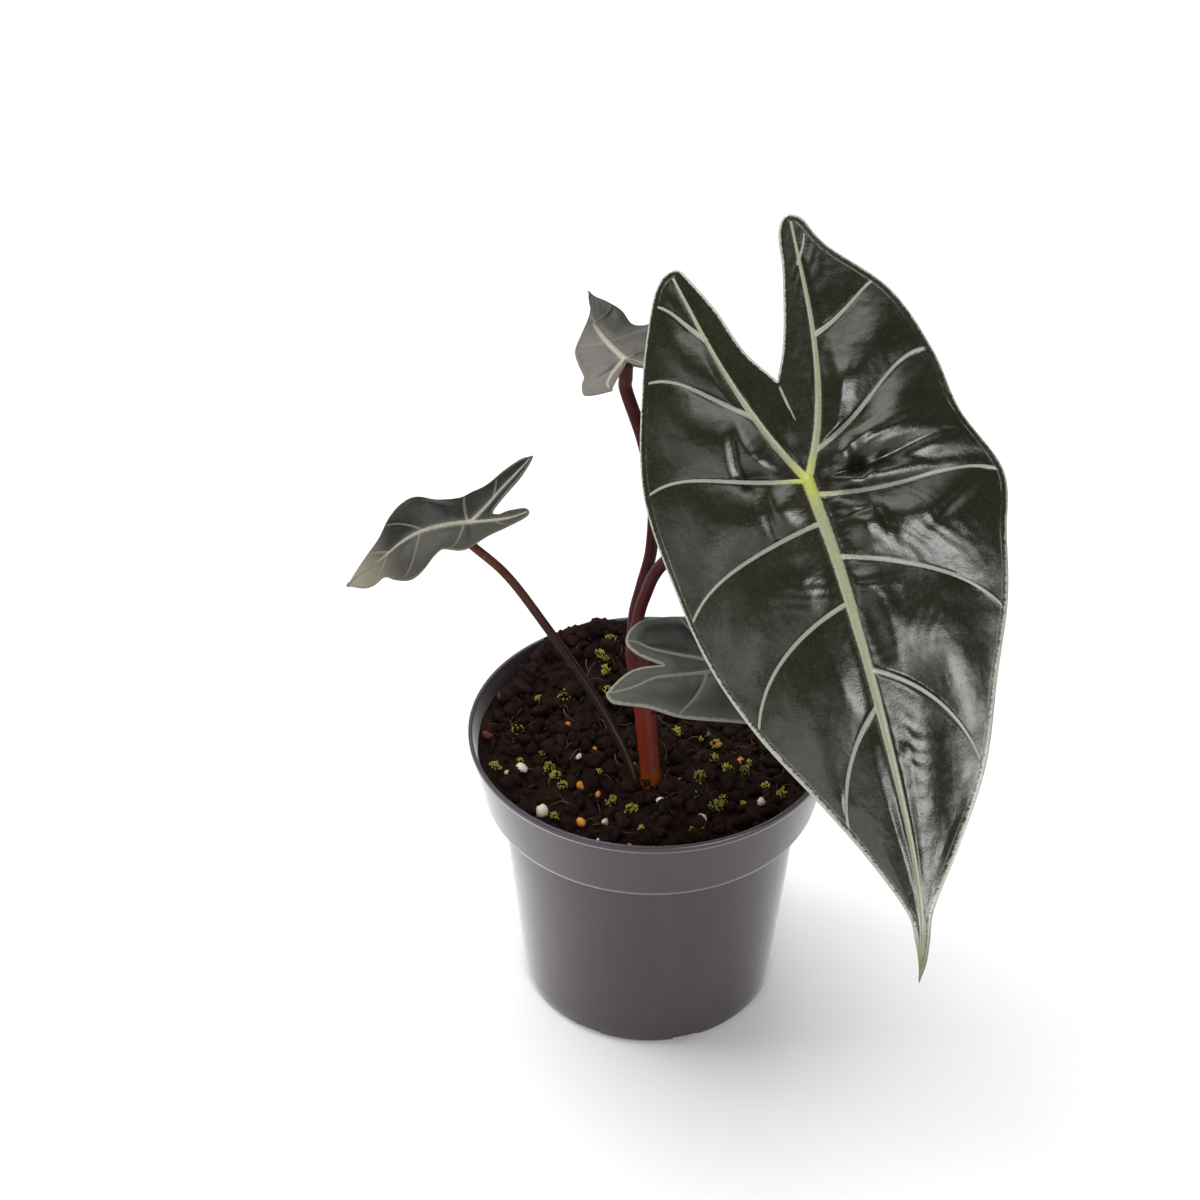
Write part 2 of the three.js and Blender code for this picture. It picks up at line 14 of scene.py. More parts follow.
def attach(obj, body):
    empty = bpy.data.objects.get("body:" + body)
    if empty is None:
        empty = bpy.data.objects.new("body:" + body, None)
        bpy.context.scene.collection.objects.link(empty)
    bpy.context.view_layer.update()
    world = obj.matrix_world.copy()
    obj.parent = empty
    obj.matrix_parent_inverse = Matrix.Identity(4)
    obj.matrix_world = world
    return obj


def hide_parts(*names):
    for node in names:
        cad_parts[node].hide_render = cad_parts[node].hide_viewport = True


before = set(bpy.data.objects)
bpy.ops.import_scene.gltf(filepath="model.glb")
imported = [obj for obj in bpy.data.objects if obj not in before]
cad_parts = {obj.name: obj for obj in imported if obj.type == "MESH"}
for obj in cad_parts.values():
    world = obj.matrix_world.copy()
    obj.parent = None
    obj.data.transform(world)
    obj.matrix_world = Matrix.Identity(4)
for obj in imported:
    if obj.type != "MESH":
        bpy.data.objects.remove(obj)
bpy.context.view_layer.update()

MM = 0.001

# The photograph's view, as found from the pot's outlines
CAMERA_AT = Vector((0, -610.6, 601.1))
CAMERA_AIM = Vector((-16.8, 0, 154.4))
SENSOR_WIDTH = 36
LENS = 72
PHOTO_SIZE = 1200

# Soft lights: name, place, target, size, power, seen in reflections, lights the surfaces
LIGHTS = [
    ("ceiling", (-300, 600, 2000), (0, 0, 0), 2100, 54, True, True),
    ("window", (-1480, 200, 700), (0, 0, 60), 1000, 18, False, True),
    ("front_fill", (300, -1700, 1300), (0, 0, 100), 1400, 24, False, True),
    ("leaf_sheen", (820, -1120, 345), (60, -60, 230), 800, 34, True, False),
    ("low_glow", (-400, -570, 84), (30, -50, 200), 160, 0.55, True, False),
]
WORLD_LIGHT = 0.12
FLOOR_REACH = 6000

# Pot
POT_HEIGHT = 104
RIM_RADIUS = 60
BAND_FOOT_RADIUS = 55.6
BAND_FOOT_HEIGHT = 80.5
BODY_TOP_RADIUS = 49.4
BODY_TOP_HEIGHT = 76.5
BODY_FOOT_RADIUS = 43.4
FOOT_BEVEL = 3
WALL = 1.2
FLOOR = 1.8
CORNER_RADIUS = 1.1
SHARP_ANGLE = 38
POT_SIDES = 192
DRAIN_SLOTS = 8
DRAIN_FIRST_ANGLE = -117
DRAIN_SLOT = SimpleNamespace(depth=12, width=9, height=2.5)
POT_COLOUR = (0.034, 0.0225, 0.032)
POT_COLOUR_WARM = (0.04, 0.0272, 0.0358)
POT_COLOUR_PALE = (0.06, 0.047, 0.06)
POT_DUST = (0.11, 0.1, 0.105)

# Soil. A mound is (x, y, rise, spread).
SOIL_LEVEL = 97
SOIL_RADIUS = 57
SOIL_EDGE = 54
SOIL_GAP = 0.3
MOUNDS = [(-18, 38, 5, 20), (0, 4, 2.5, 30), (-27, 46, 7, 18)]
SOIL_RINGS = 84
SOIL_SIDES = 220
CRUMBS = 1250
CRUMB_FIELD = 54
CRUMB_SIZES = (0.55, 3.2)
LARGE_CRUMB = 1.6
HEAP_CLODS = 70
HEAP_ANGLES = (88, 150)
HEAP_REACH = (50, 56)
HEAP_SIZES = (1.8, 3.4)
LOOSE_GRAIN_SIZES = (0.6, 1.3)
LOOSE_TUFT_SIZES = (0.8, 1.6)
LEAFLETS_PER_SIZE = 22
FIBRES = 130
SOIL_DARK = (0.003, 0.0014, 0.001)
SOIL_LIGHT = (0.017, 0.0075, 0.0048)
SOIL_RUSTY = (0.026, 0.009, 0.005)

# Pixels of the photograph where a body lies on the soil, with its half size
BIG_CLODS = [(580, 621, 4.6), (592, 626, 3.4), (533, 640, 4.6), (540, 628, 3.2), (610, 628, 3.0),
             (506, 700, 3.4), (560, 655, 3.6), (520, 690, 3.0), (590, 740, 3.2), (625, 745, 3.4)]
WHITE_GRAINS = [(542, 816, 2.5), (522, 772, 2.0), (605, 825, 1.4), (702, 822, 1.7), (692, 797, 1.5),
                (761, 805, 1.4), (660, 804, 1.5), (579, 760, 1.3)]
ORANGE_GRAINS = [(581, 790, 1.9), (581, 826, 1.8), (598, 797, 1.2), (740, 766, 1.8), (718, 748, 1.3)]
MOSS_TUFTS = [(518, 734, 2.4), (549, 770, 2.0), (556, 779, 2.2), (562, 788, 1.8), (566, 697, 2.3),
              (538, 703, 1.8), (611, 804, 1.9), (631, 812, 2.1), (716, 809, 2.3), (724, 802, 1.6),
              (713, 761, 2.0), (716, 747, 1.8), (700, 780, 2.2), (678, 785, 2.0), (678, 734, 1.8),
              (601, 659, 2.4), (611, 643, 2.2), (781, 796, 1.6), (495, 769, 1.8), (700, 828, 1.6),
              (728, 772, 2.0), (744, 772, 1.7), (692, 797, 1.8)]
RED_BITS = [(496, 697, 2.2), (483, 739, 1.9), (505, 786, 1.6)]

# Blades: how far rows of points lie from a vein, and from a rib or the edge, before they spread evenly
BESIDE_VEIN = (0.3, 0.6, 0.95, 1.4, 2.1)
BESIDE_RIB = (0.4, 0.8, 1.2, 1.6, 2.1, 2.8, 3.8)
BESIDE_EDGE = (0.35, 0.8, 1.4, 2.1, 2.7, 3.3, 4.0, 5.2)
FULL_PUFF_SPAN = 26
PUFF_RISE = 0.17
HOOK_SHAPE = 9.5
HALF_THICKNESS = (0.2, 0.34)
EDGE_BEAD = 0.2
UNDER_RIDGE = 1.25
FAR = 9
UNDERSIDE_OFFSET = 40


# Small helpers
def lerp(a, b, share):
    return a + (b - a) * share


def smooth(values, low, high):
    share = np.clip((np.asarray(values, float) - low) / (high - low), 0, 1)
    return share * share * (3 - 2 * share)


def rotated(points, first, second, angle):
    # The points turned by an angle, from one axis towards another
    cos, sin = math.cos(angle), math.sin(angle)
    result = points.copy()
    result[:, first] = cos * points[:, first] - sin * points[:, second]
    result[:, second] = sin * points[:, first] + cos * points[:, second]
    return result


def with_defaults(defaults, **values):
    return SimpleNamespace(**{**defaults, **values})


def new_object(name, points, faces):
    mesh = bpy.data.meshes.new(name)
    mesh.from_pydata((np.asarray(points, float) * MM).tolist(), [], faces)
    mesh.validate()
    mesh.update()
    made = bpy.data.objects.new(name, mesh)
    bpy.context.scene.collection.objects.link(made)
    return made


def make_piece(name, points, faces, material, replaces=()):
    piece = new_object(name, points, faces)
    piece.data.shade_smooth()
    piece.data.materials.append(material)
    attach(piece, "root")
    if replaces:
        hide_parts(*replaces)
    return piece


def set_attribute(piece, name, values):
    values = np.asarray(values, np.float32)
    is_vector = values.ndim == 2
    attribute = piece.data.attributes.new(name, "FLOAT_VECTOR" if is_vector else "FLOAT", "POINT")
    attribute.data.foreach_set("vector" if is_vector else "value", values.ravel())


# Leaves: points are (towards the tip, across, lift) in the flat blade, from where the stem joins it.
# A half has its outer margin, the inner edge of its back lobe, that lobe's rib and the side veins.
# A vein is (where it leaves the rib, how far towards the tip it reaches the edge, how much it bows,
# how much its outer end hooks towards the tip). A twig is the flat points of a short extra vein.
# A place before the stem joint counts backwards along the lobe's own rib. A pucker is
# (towards the tip, across, half length, half width, turn in degrees, height), and ripples are
# (towards the tip, across, half length, half width, turn in degrees, spacing, height).
def half(margin, inner, rib, veins):
    return SimpleNamespace(margin=margin, inner=inner, rib=rib, veins=veins)


MAIN_LEAF = SimpleNamespace(
    name="main_leaf", at=(41.7, -61.4, 240.7), heading=23.3, pitch=47, roll=25.4,
    length=143, back_length=76, arch=17, back_arch=9, fold=12, curl=15, curl_width=52,
    step=0.9, columns=46, edge_vein_inset=2.0, rim_widths=(0.7, 1.5), joint_depth=3.35,
    puff=3.6, tip_puffs=(0.65, 0.3), lobe_puff=0.45, tip_from=0.87,
    rib_width=1.5, vein_width=0.72, vein_rise=0.6, unevenness=0.3, crumple=0.12,
    midrib=[(0, 0), (25, 2), (60, 2.5), (100, 1.2), (125, -2), (143, -7.5)],
    halves=[
        half(
            margin=[(-69.6, -23.4), (-68, -27), (-61, -32), (-40, -41), (-11, -48.5, 1), (20, -48, -1),
                    (44, -43), (66, -33.5, 1), (87, -22), (105, -13, -1), (122, -5.6), (131, -5.4),
                    (138, -6.2), (143, -7.5)],
            inner=[(-29, -1), (-40, -8), (-54, -13), (-65, -18.2), (-69, -20.6), (-69.6, -23.4)],
            rib=[(0, 0), (-16, -8), (-39, -16), (-69.6, -23.4)],
            veins=[(-50, -62, 1, 1), (-23, -41, 3, 2.2), (0, -9, 1, 3.4), (12, 31, 7, 2), (35, 66, 12, 1),
                   (64, 99, 8, 0)],
        ),
        half(
            margin=[(-75.2, 14.2), (-73, 17.6), (-64, 22.4), (-48, 37), (-28, 44, 1), (-10, 47.5),
                    (10, 56, -1), (28, 51), (46, 46), (66, 37), (88, 27, 1), (107, 14, 1.5), (123, 2.4),
                    (132, -1.4), (138, -4), (143, -7.5)],
            inner=[(-29, -1), (-40, 3.5), (-58, 8), (-69, 9.6), (-73.8, 11.6), (-75.2, 14.2)],
            rib=[(0, 0), (-16, 7), (-40, 12), (-75.2, 14.2)],
            veins=[(-41, -52, -2, 1), (-8, -29, -2, 3.6), (4, 10, -3, 3.4), (22, 49, 8, 1.5),
                   (54, 90, 12, 0)],
        ),
    ],
    twigs=[[(-60, 12.7), (-65, 15.5), (-69, 17)], [(-29, -1), (-23, -0.2), (-17, 0.9)]],
    puckers=[(-11.5, -11.5, 5.5, 4.2, 0, 2.0), (-12.5, -17.6, 6.5, 1.6, -10, -2.2),
             (-5, -17.5, 4, 1.5, 20, -1.6), (-4.3, -13.5, 4, 1.5, 90, -1.0), (-9, -2.4, 4.5, 2.5, 0, 1.4),
             (-18, 10, 8, 2.6, 0, 0.9), (-3, 8.3, 4.3, 4.3, 0, 3.0), (-3, 8.3, 1.9, 1.9, 0, -1.5),
             (-0.5, 13.8, 4.4, 1.4, 0, -1.6), (1, 16.8, 5.5, 1.5, -47, 1.3), (-9, 17, 4.5, 5, 0, 1.3),
             (-6.5, 31, 17, 5.2, 84, 2.9), (1.5, 33, 14, 2.3, 83, -1.6), (9, 8.5, 2.8, 3.4, 0, 1.4),
             (11.8, 10, 1.2, 5, 0, -1.2), (15, 11, 4.2, 4.4, 0, 1.6), (15.5, 17, 5, 1.5, 10, -1.7),
             (15, 26, 6, 9, 0, 1.5), (16, 36, 8, 1.8, 115, -1.3), (5.5, -12.6, 7, 1.6, 0, -1.7),
             (6, -7, 6, 3.8, 0, 1.2), (31, 6.2, 5, 5, 0, 2.7), (38, 16, 4, 3, 0, -1.1),
             (36, 27, 6, 7, 0, 1.0), (84, 11, 26, 7, -8, -3), (78, 7, 1.6, 5, 25, 0.4),
             (90, -14, 5, 3, 40, 0.8), (-55, 16, 10, 3, 0, 0.7), (-28, -26, 9, 8, 0, 0.7),
             (-25.5, 15, 4.6, 6, 0, 1.3)],
    ripples=[(-12, -11, 5, 4, 45, 2.6, 0.12), (-18, -5, 6, 4, 60, 2.5, 0.14),
             (-1.2, 8.4, 3, 3, 20, 2.4, 0.08), (9.5, 12, 4, 3, 50, 2.4, 0.14),
             (13, 5, 6, 2.2, 0, 2.0, 0.14), (30, 8, 4.5, 5.5, -8, 2.8, 0.22),
             (31, -7.5, 4.5, 7, -14, 3.4, 0.22), (78, 9, 8, 6, -35, 4.2, 0.2),
             (-60, 15, 11, 5, 60, 3.2, 0.14), (20, 28, 9, 12, -50, 3.4, 0.11),
             (50, 8, 8, 6, 15, 3.4, 0.12), (-8, 22, 6, 12, 15, 2.6, 0.1),
             (40, 22, 9, 9, 60, 3.0, 0.09), (-30, 14, 12, 6, 70, 3.4, 0.1)],
)
SMALL_LEAF = dict(
    fold=4, step=0.6, columns=28, edge_vein_inset=0.8, rim_widths=(0.6, 0.6), joint_depth=1.95,
    puff=1, tip_puffs=(1, 1), lobe_puff=1, vein_width=0.5, vein_rise=0.45, unevenness=0.15,
    crumple=0.04, twigs=[], ripples=[],
)
LEFT_LEAF = with_defaults(
    SMALL_LEAF, name="left_leaf", at=(-57, 2.7, 181.3), heading=-70, pitch=-6, roll=-4,
    length=46, back_length=24, arch=44, back_arch=-30, curl=10, curl_width=17, tip_from=0.5, rib_width=1.05,
    midrib=[(0, 0), (17, 0), (31, 0, -4), (46, 0, -5)],
    halves=[
        half(
            margin=[(-28.3, -12.1, 8), (-23.3, -14.3, 7.8), (-16.6, -14.8, 6.4), (-9.7, -17, 2.3),
                    (-5.5, -18, 0.7), (-0.9, -17.5, -0.5), (6.3, -17.8, -0.2), (13.2, -17.3, 2.6),
                    (18.8, -15.9, 2.1), (23.9, -13.5, 0.1), (29.6, -9.9, -2.9), (38.4, -4.8, -4.4),
                    (46, 0, -5)],
            inner=[(-7.4, 0, 2), (-8.8, -2.4, 2.2), (-14.8, -7.4, 3.1), (-21.3, -9.8, 5.1),
                   (-27, -11.1, 7.6), (-28.3, -12.1, 8)],
            rib=[(0, 0), (-6, -5, 1), (-12.5, -9.6, 2.8), (-20, -11.8, 5.2), (-28.3, -12.1, 8)],
            veins=[(-13, -13, 0, 0.6), (1, -3, -1, 0), (15, 26, 2, 0.6), (28, 36, 1, 0.6)],
        ),
        half(
            margin=[(-18.2, 9.6, 9), (-16.3, 11, 9.3), (-8.3, 12.7, 9.7), (-1.1, 13.6, 8.4),
                    (4.9, 16.4, 7.8), (8.5, 16.6, 7.4), (12.9, 13.9, 6.2), (16.4, 13.6, 3),
                    (20.5, 14.8, -0.5), (24.9, 14.6, -2.2), (29.2, 12, -2.4), (32.2, 8.4, -3),
                    (36.6, 7.4, -4.8), (40.8, 5.6, -5.2), (46, 0, -5)],
            inner=[(-7.4, 0, 2), (-9.1, 1.8, 3.1), (-11.7, 2.8, 4.6), (-16.1, 6.1, 7.4), (-17.8, 8, 8.6),
                   (-18.2, 9.6, 9)],
            rib=[(0, 0), (-6, 3.2, 2.4), (-11, 6.2, 5), (-15, 8.4, 7.6), (-18.2, 9.6, 9)],
            veins=[(-8, -9, 0, 0.6), (2, 11, 1, 0.6), (16, 27, 2, 0.6), (28, 37, 1, 0.6)],
        ),
    ],
    puckers=[(8, -10, 6, 5, 0, 0.7), (22, -7, 4, 4, 0, -0.5), (12, 8, 4, 4, 0, -0.7), (24, 7, 4, 4, 20, 0.6)],
)
BACK_LEAF = with_defaults(
    SMALL_LEAF, name="back_leaf", at=(-9.7, 15, 233), heading=-152, pitch=6, roll=0,
    length=44, back_length=20, arch=-12, back_arch=4, curl=8, curl_width=18, tip_from=0.3, rib_width=1.15,
    midrib=[(0, 0), (14, -0.6), (25.3, -1.9, 0.5), (33, -4.6, 1.6), (39.5, -6.9, 2.8)],
    halves=[
        half(
            margin=[(-17, -11), (-12, -17), (0, -21, 1), (11, -22, 2.3), (18, -20, 2.2), (22.5, -17.8, -0.8),
                    (25.5, -15.6, -1.6), (29.5, -13.8, 0.7), (33, -10.3, 2.2), (36.5, -7.7, 2.5),
                    (39.5, -6.9, 2.8)],
            inner=[(-1.5, 0), (-6, -2.6), (-11, -6.2), (-17, -11)],
            rib=[(0, 0), (-8, -5.5), (-17, -11)],
            veins=[(-7, -9, 0, 0.6), (1, 6, 1, 0.6), (13, 21, 2, 0.6), (25, 32, 1, 0.6)],
        ),
        half(
            margin=[(-13.8, 11.2), (-11.4, 15.2, -0.7), (-9.3, 18.1, -0.7), (-7.6, 18.4, -0.4),
                    (-4.8, 16.9, 0.4), (-2.2, 14.9, 0.9), (7.3, 12.3, 0.2), (16.2, 9.1, -1),
                    (22.2, 3.9, -0.2), (27.2, -0.8, 0.7), (32, -4.2, 1.2), (36, -5.8, 2.2),
                    (39.5, -6.9, 2.8)],
            inner=[(-1.5, 0), (-6.2, 4.6), (-11.8, 9.9), (-13.8, 11.2)],
            rib=[(0, 0), (-5.2, 6.6), (-10.2, 11), (-13.8, 11.2)],
            veins=[(-7, -7, 0, 0.6), (1, 5, 1, 0.6), (13, 19, 2, 0.6), (25, 30, 1, 0.6)],
        ),
    ],
    puckers=[(8, -11, 6, 5, 0, 0.8), (20, 2, 4, 3, 0, -0.5), (0, 8, 5, 5, 0, 0.7), (28, -9, 4, 3, 0, -0.6)],
)
MIDDLE_LEAF = with_defaults(
    SMALL_LEAF, name="middle_leaf", at=(23.4, -38, 157.2), heading=90, pitch=4, roll=18,
    length=62, back_length=36, arch=22, back_arch=6, curl=10, curl_width=20, tip_from=0.87,
    step=0.75, columns=30, edge_vein_inset=0.9, rim_widths=(1.0, 1.0), joint_depth=2.05,
    puff=1.2, rib_width=1.0, vein_width=0.62,
    midrib=[(0, 0), (20, 0.3), (42, 0), (62, -1)],
    halves=[
        half(
            margin=[(-37, -10.4), (-36.2, -12), (-33.8, -13.5), (-24, -14.6), (-14, -17.4, 0.5),
                    (0, -17.6), (16, -17, -0.5), (32, -13, 0.5), (46, -7), (55, -2.6), (62, -1)],
            inner=[(-20.4, 0), (-26.5, -1), (-31, -3.2), (-35, -7.4), (-37, -10.4)],
            rib=[(0, 0), (-9, -2.3), (-18.5, -3.8), (-23, -4.8), (-29, -8), (-37, -10.4)],
            veins=[(-7, -15, -3, 0.6), (3, 9, 1, 0.6), (17, 31, 4, 0.6), (33, 47, 3, 0.6)],
        ),
        half(
            margin=[(-32, 9.4), (-31.4, 12.5), (-29.8, 15.6), (-26, 18.8), (-16, 21.4, -0.5), (0, 20.5),
                    (16, 18.5, 0.5), (32, 13.5, -0.5), (46, 6.5), (55, 1.6), (62, -1)],
            inner=[(-20.4, 0), (-25, 2), (-28.6, 4.2), (-31.2, 7), (-32, 9.4)],
            rib=[(0, 0), (-9, 3), (-16, 4.2), (-24, 6.2), (-28.2, 8.6), (-32, 9.4)],
            veins=[(-8, -16, -3, 0.6), (3, 9, 1, 0.6), (17, 31, 4, 0.6), (33, 47, 3, 0.6)],
        ),
    ],
    puckers=[(-16, -9, 6, 3.5, 0, 0.8), (-16, 12, 6, 4, 0, 0.8), (10, 8, 8, 5, 0, 0.6)],
)

# Stems: points along the middle, with the radius at both ends, and colours from foot to top
CROWN = SimpleNamespace(
    name="crown_stalk", node="crown", material="ruddy_crown", radii=(3.15, 3.5),
    route=[(0, -21, 84), (0, -21, 98), (-1.2, -20, 114), (-2.6, -18.8, 130), (-5, -17, 146),
           (-5.2, -15.4, 158)],
)
STEMS = [
    SimpleNamespace(
        name="main_petiole", node="main_stem", leaf=MAIN_LEAF, material="maroon_stem", radii=(1.75, 2.3),
        route=[(-6, -17.2, 146), (-4.7, -17, 159.2), (-2.6, -17.6, 169), (2, -20, 182), (14, -26, 198),
               (32, -34, 216)],
    ),
    SimpleNamespace(
        name="back_petiole", node="back_stem", leaf=BACK_LEAF, material="maroon_stem", radii=(1.7, 2.1),
        route=[(-4.2, -16.9, 138), (-6.1, -14.9, 148), (-5.8, -13.2, 158.9), (-3.6, -12, 169),
               (-0.8, -9, 181), (-0.5, -2, 197), (-4, 7, 210)],
    ),
    SimpleNamespace(
        name="left_petiole", node="left_stem", leaf=LEFT_LEAF, material="rusty_stem_painted_shade", radii=(1.45, 1.4),
        route=[(-3.6, -24, 86), (-5, -22.6, 98), (-9.2, -19.7, 110.8), (-20, -15, 131),
               (-33.8, -8.4, 150.5), (-46, -2, 165)],
    ),
    SimpleNamespace(
        name="middle_petiole", node="middle_stem", leaf=MIDDLE_LEAF, material="maroon_stem", radii=(1.6, 1.4),
        route=[(-2.4, -19.3, 120), (-1.6, -19.8, 125), (4, -22, 130), (14, -29, 139)],
    ),
]
STEM_COLOURS = {
    "maroon_stem": [(0.07, 0.008, 0.009), (0.042, 0.006, 0.01), (0.06, 0.015, 0.015)],
    # The rusty stem's dark middle colour is painted shadow; its foot and top keep the stem's own brown and
    # reddish colours
    "rusty_stem_painted_shade": [(0.03, 0.013, 0.005), (0.012, 0.0045, 0.0035), (0.12, 0.036, 0.022)],
    "ruddy_crown": [(0.24, 0.055, 0.009), (0.15, 0.017, 0.007), (0.055, 0.006, 0.008)],
}
STEM_DARK = (0.012, 0.003, 0.003)

# Colours and finish of the blades. Past a set distance across its midrib, or on the other side if that is
# negative, a blade takes its near colour: painted light and shade for how that half faces the lamps. A band
# runs along its edge and a halo beside its ribs, and fuzz roughens the edges of its ribs and veins.
DARK_LOOK = SimpleNamespace(
    dark=(0.0115, 0.0108, 0.0044), mid=(0.0162, 0.0153, 0.0072), light=(0.025, 0.0235, 0.0145),
    near=(0.0125, 0.0117, 0.005), near_side=4.0, vein=(0.28, 0.285, 0.235), vein_dark=(0.19, 0.195, 0.15),
    rib=(0.36, 0.37, 0.28), rib_dark=(0.26, 0.28, 0.17), heart=(0.4, 0.44, 0.07), side_strength=1.0,
    line_strength=0.7, rim=(0.37, 0.38, 0.32), tip=(0.11, 0.135, 0.04), band=(0.02, 0.02, 0.0135),
    band_width=3.0, band_strength=0.4, under=(0.085, 0.075, 0.05), under_light=(0.12, 0.105, 0.075),
    under_vein=(0.24, 0.22, 0.14), halo=2.0, halo_strength=0.08, vein_soft=0.2, fuzz=0.16,
    rough=0.25, grain=0.9, gloss=0.45,
)
GREY_LOOK = dict(
    near_side=4.0, line_strength=0.0, under=(0.12, 0.1, 0.09), under_light=(0.18, 0.15, 0.135),
    under_vein=(0.25, 0.2, 0.15), halo=3.2, vein_soft=0.45, fuzz=0.2, rough=0.48, grain=0.5,
)
MIDDLE_LOOK = with_defaults(
    GREY_LOOK, dark=(0.009, 0.0095, 0.0066), mid=(0.014, 0.0155, 0.011), light=(0.03, 0.032, 0.026),
    near=(0.047, 0.051, 0.038), near_side=-4.0, vein=(0.13, 0.135, 0.105), vein_dark=(0.1, 0.105, 0.08),
    rib=(0.19, 0.195, 0.155), rib_dark=(0.14, 0.15, 0.11), heart=(0.2, 0.22, 0.15), side_strength=0.9,
    rim=(0.2, 0.195, 0.165), tip=(0.1, 0.1, 0.06), band=(0.06, 0.066, 0.052), band_width=5.0,
    band_strength=0.8, under=(0.12, 0.1, 0.085), under_light=(0.17, 0.145, 0.125), halo=3.0,
    halo_strength=0.2, vein_soft=0.3, fuzz=0.15, gloss=0.25,
)
LEFT_LOOK = with_defaults(
    GREY_LOOK, dark=(0.0075, 0.008, 0.0055), mid=(0.0125, 0.0125, 0.009), light=(0.04, 0.037, 0.03),
    near=(0.052, 0.049, 0.039), vein=(0.15, 0.145, 0.115), vein_dark=(0.1, 0.095, 0.075),
    rib=(0.3, 0.3, 0.25), rib_dark=(0.24, 0.235, 0.19), heart=(0.33, 0.33, 0.25), side_strength=0.6,
    rim=(0.1, 0.095, 0.075), tip=(0.19, 0.178, 0.135), band=(0.03, 0.03, 0.022), band_width=2.0,
    band_strength=0.3, halo_strength=0.35, gloss=0.22,
)
BACK_LOOK = with_defaults(
    GREY_LOOK, dark=(0.055, 0.051, 0.043), mid=(0.08, 0.072, 0.064), light=(0.13, 0.116, 0.105),
    near=(0.14, 0.124, 0.112), vein=(0.2, 0.185, 0.155), vein_dark=(0.16, 0.15, 0.125),
    rib=(0.38, 0.36, 0.3), rib_dark=(0.32, 0.3, 0.245), heart=(0.38, 0.36, 0.27), side_strength=0.3,
    rim=(0.15, 0.14, 0.115), tip=(0.028, 0.031, 0.019), band=(0.1, 0.095, 0.08), band_width=2.5,
    band_strength=0.5, halo_strength=0.3, rough=0.5, gloss=0.3,
)


# Materials
class Shader:
    # A short way to write one material's nodes
    def __init__(self, name):
        self.material = bpy.data.materials.new(name)
        self.material.use_nodes = True
        self.tree = self.material.node_tree
        self.tree.nodes.clear()

    def node(self, kind, settings=None, **inputs):
        made = self.tree.nodes.new("ShaderNode" + kind)
        for key, value in (settings or {}).items():
            setattr(made, key, value)
        for key, value in inputs.items():
            self.feed(made.inputs[key.replace("_", " ")], value)
        return made

    def feed(self, socket, value):
        if isinstance(value, bpy.types.NodeSocket):
            self.tree.links.new(value, socket)
        else:
            socket.default_value = value

    def attribute(self, name, kind="Fac"):
        return self.node("Attribute", {"attribute_name": name}).outputs[kind]

    def place(self):
        return self.node("TexCoord").outputs["Object"]

    def stretched(self, where, scale):
        return self.node("Mapping", Vector=where, Scale=scale).outputs["Vector"]

    def noise(self, where, scale, detail=3.0, roughness=0.55):
        made = self.node("TexNoise", Vector=where, Scale=scale, Detail=detail, Roughness=roughness)
        return made.outputs["Fac"]

    def step(self, value, low, high, to_low=0.0, to_high=1.0):
        made = self.node("MapRange", {"interpolation_type": "SMOOTHSTEP"}, Value=value, From_Min=low,
                         From_Max=high, To_Min=to_low, To_Max=to_high)
        return made.outputs["Result"]

    def math(self, operation, first, second=0.0):
        made = self.node("Math", {"operation": operation})
        self.feed(made.inputs[0], first)
        self.feed(made.inputs[1], second)
        return made.outputs[0]

    def mix(self, share, first, second):
        made = self.node("Mix", {"data_type": "RGBA"})
        self.feed(made.inputs[0], share)
        for socket, colour in ((made.inputs[6], first), (made.inputs[7], second)):
            self.feed(socket, colour if isinstance(colour, bpy.types.NodeSocket) else (*colour, 1))
        return made.outputs[2]

    def fade(self, value, low, high, first, second, to_low=0.0, to_high=1.0):
        # From one colour to another while a value goes from low to high
        return self.mix(self.step(value, low, high, to_low, to_high), first, second)

    def bump(self, height, distance, strength=1.0, **normal):
        made = self.node("Bump", Height=height, Distance=distance, Strength=strength, **normal)
        return made.outputs["Normal"]

    def finish(self, **inputs):
        surface = self.node("BsdfPrincipled", **inputs)
        output = self.node("OutputMaterial")
        self.tree.links.new(surface.outputs[0], output.inputs["Surface"])
        return self.material


# Brushed hairs that run with a slow swirl over the flat blade
def blade_hair(shader, flat):
    swirl = shader.node("VectorMath", {"operation": "MULTIPLY_ADD"})
    drift = shader.node("TexNoise", Vector=flat, Scale=0.06).outputs["Color"]
    for socket, value in zip(swirl.inputs, (drift, (14, 14, 14), flat)):
        shader.feed(socket, value)
    return shader.noise(shader.stretched(swirl.outputs["Vector"], (1.9, 0.6, 1)), 1.0, 3.0, 0.6)


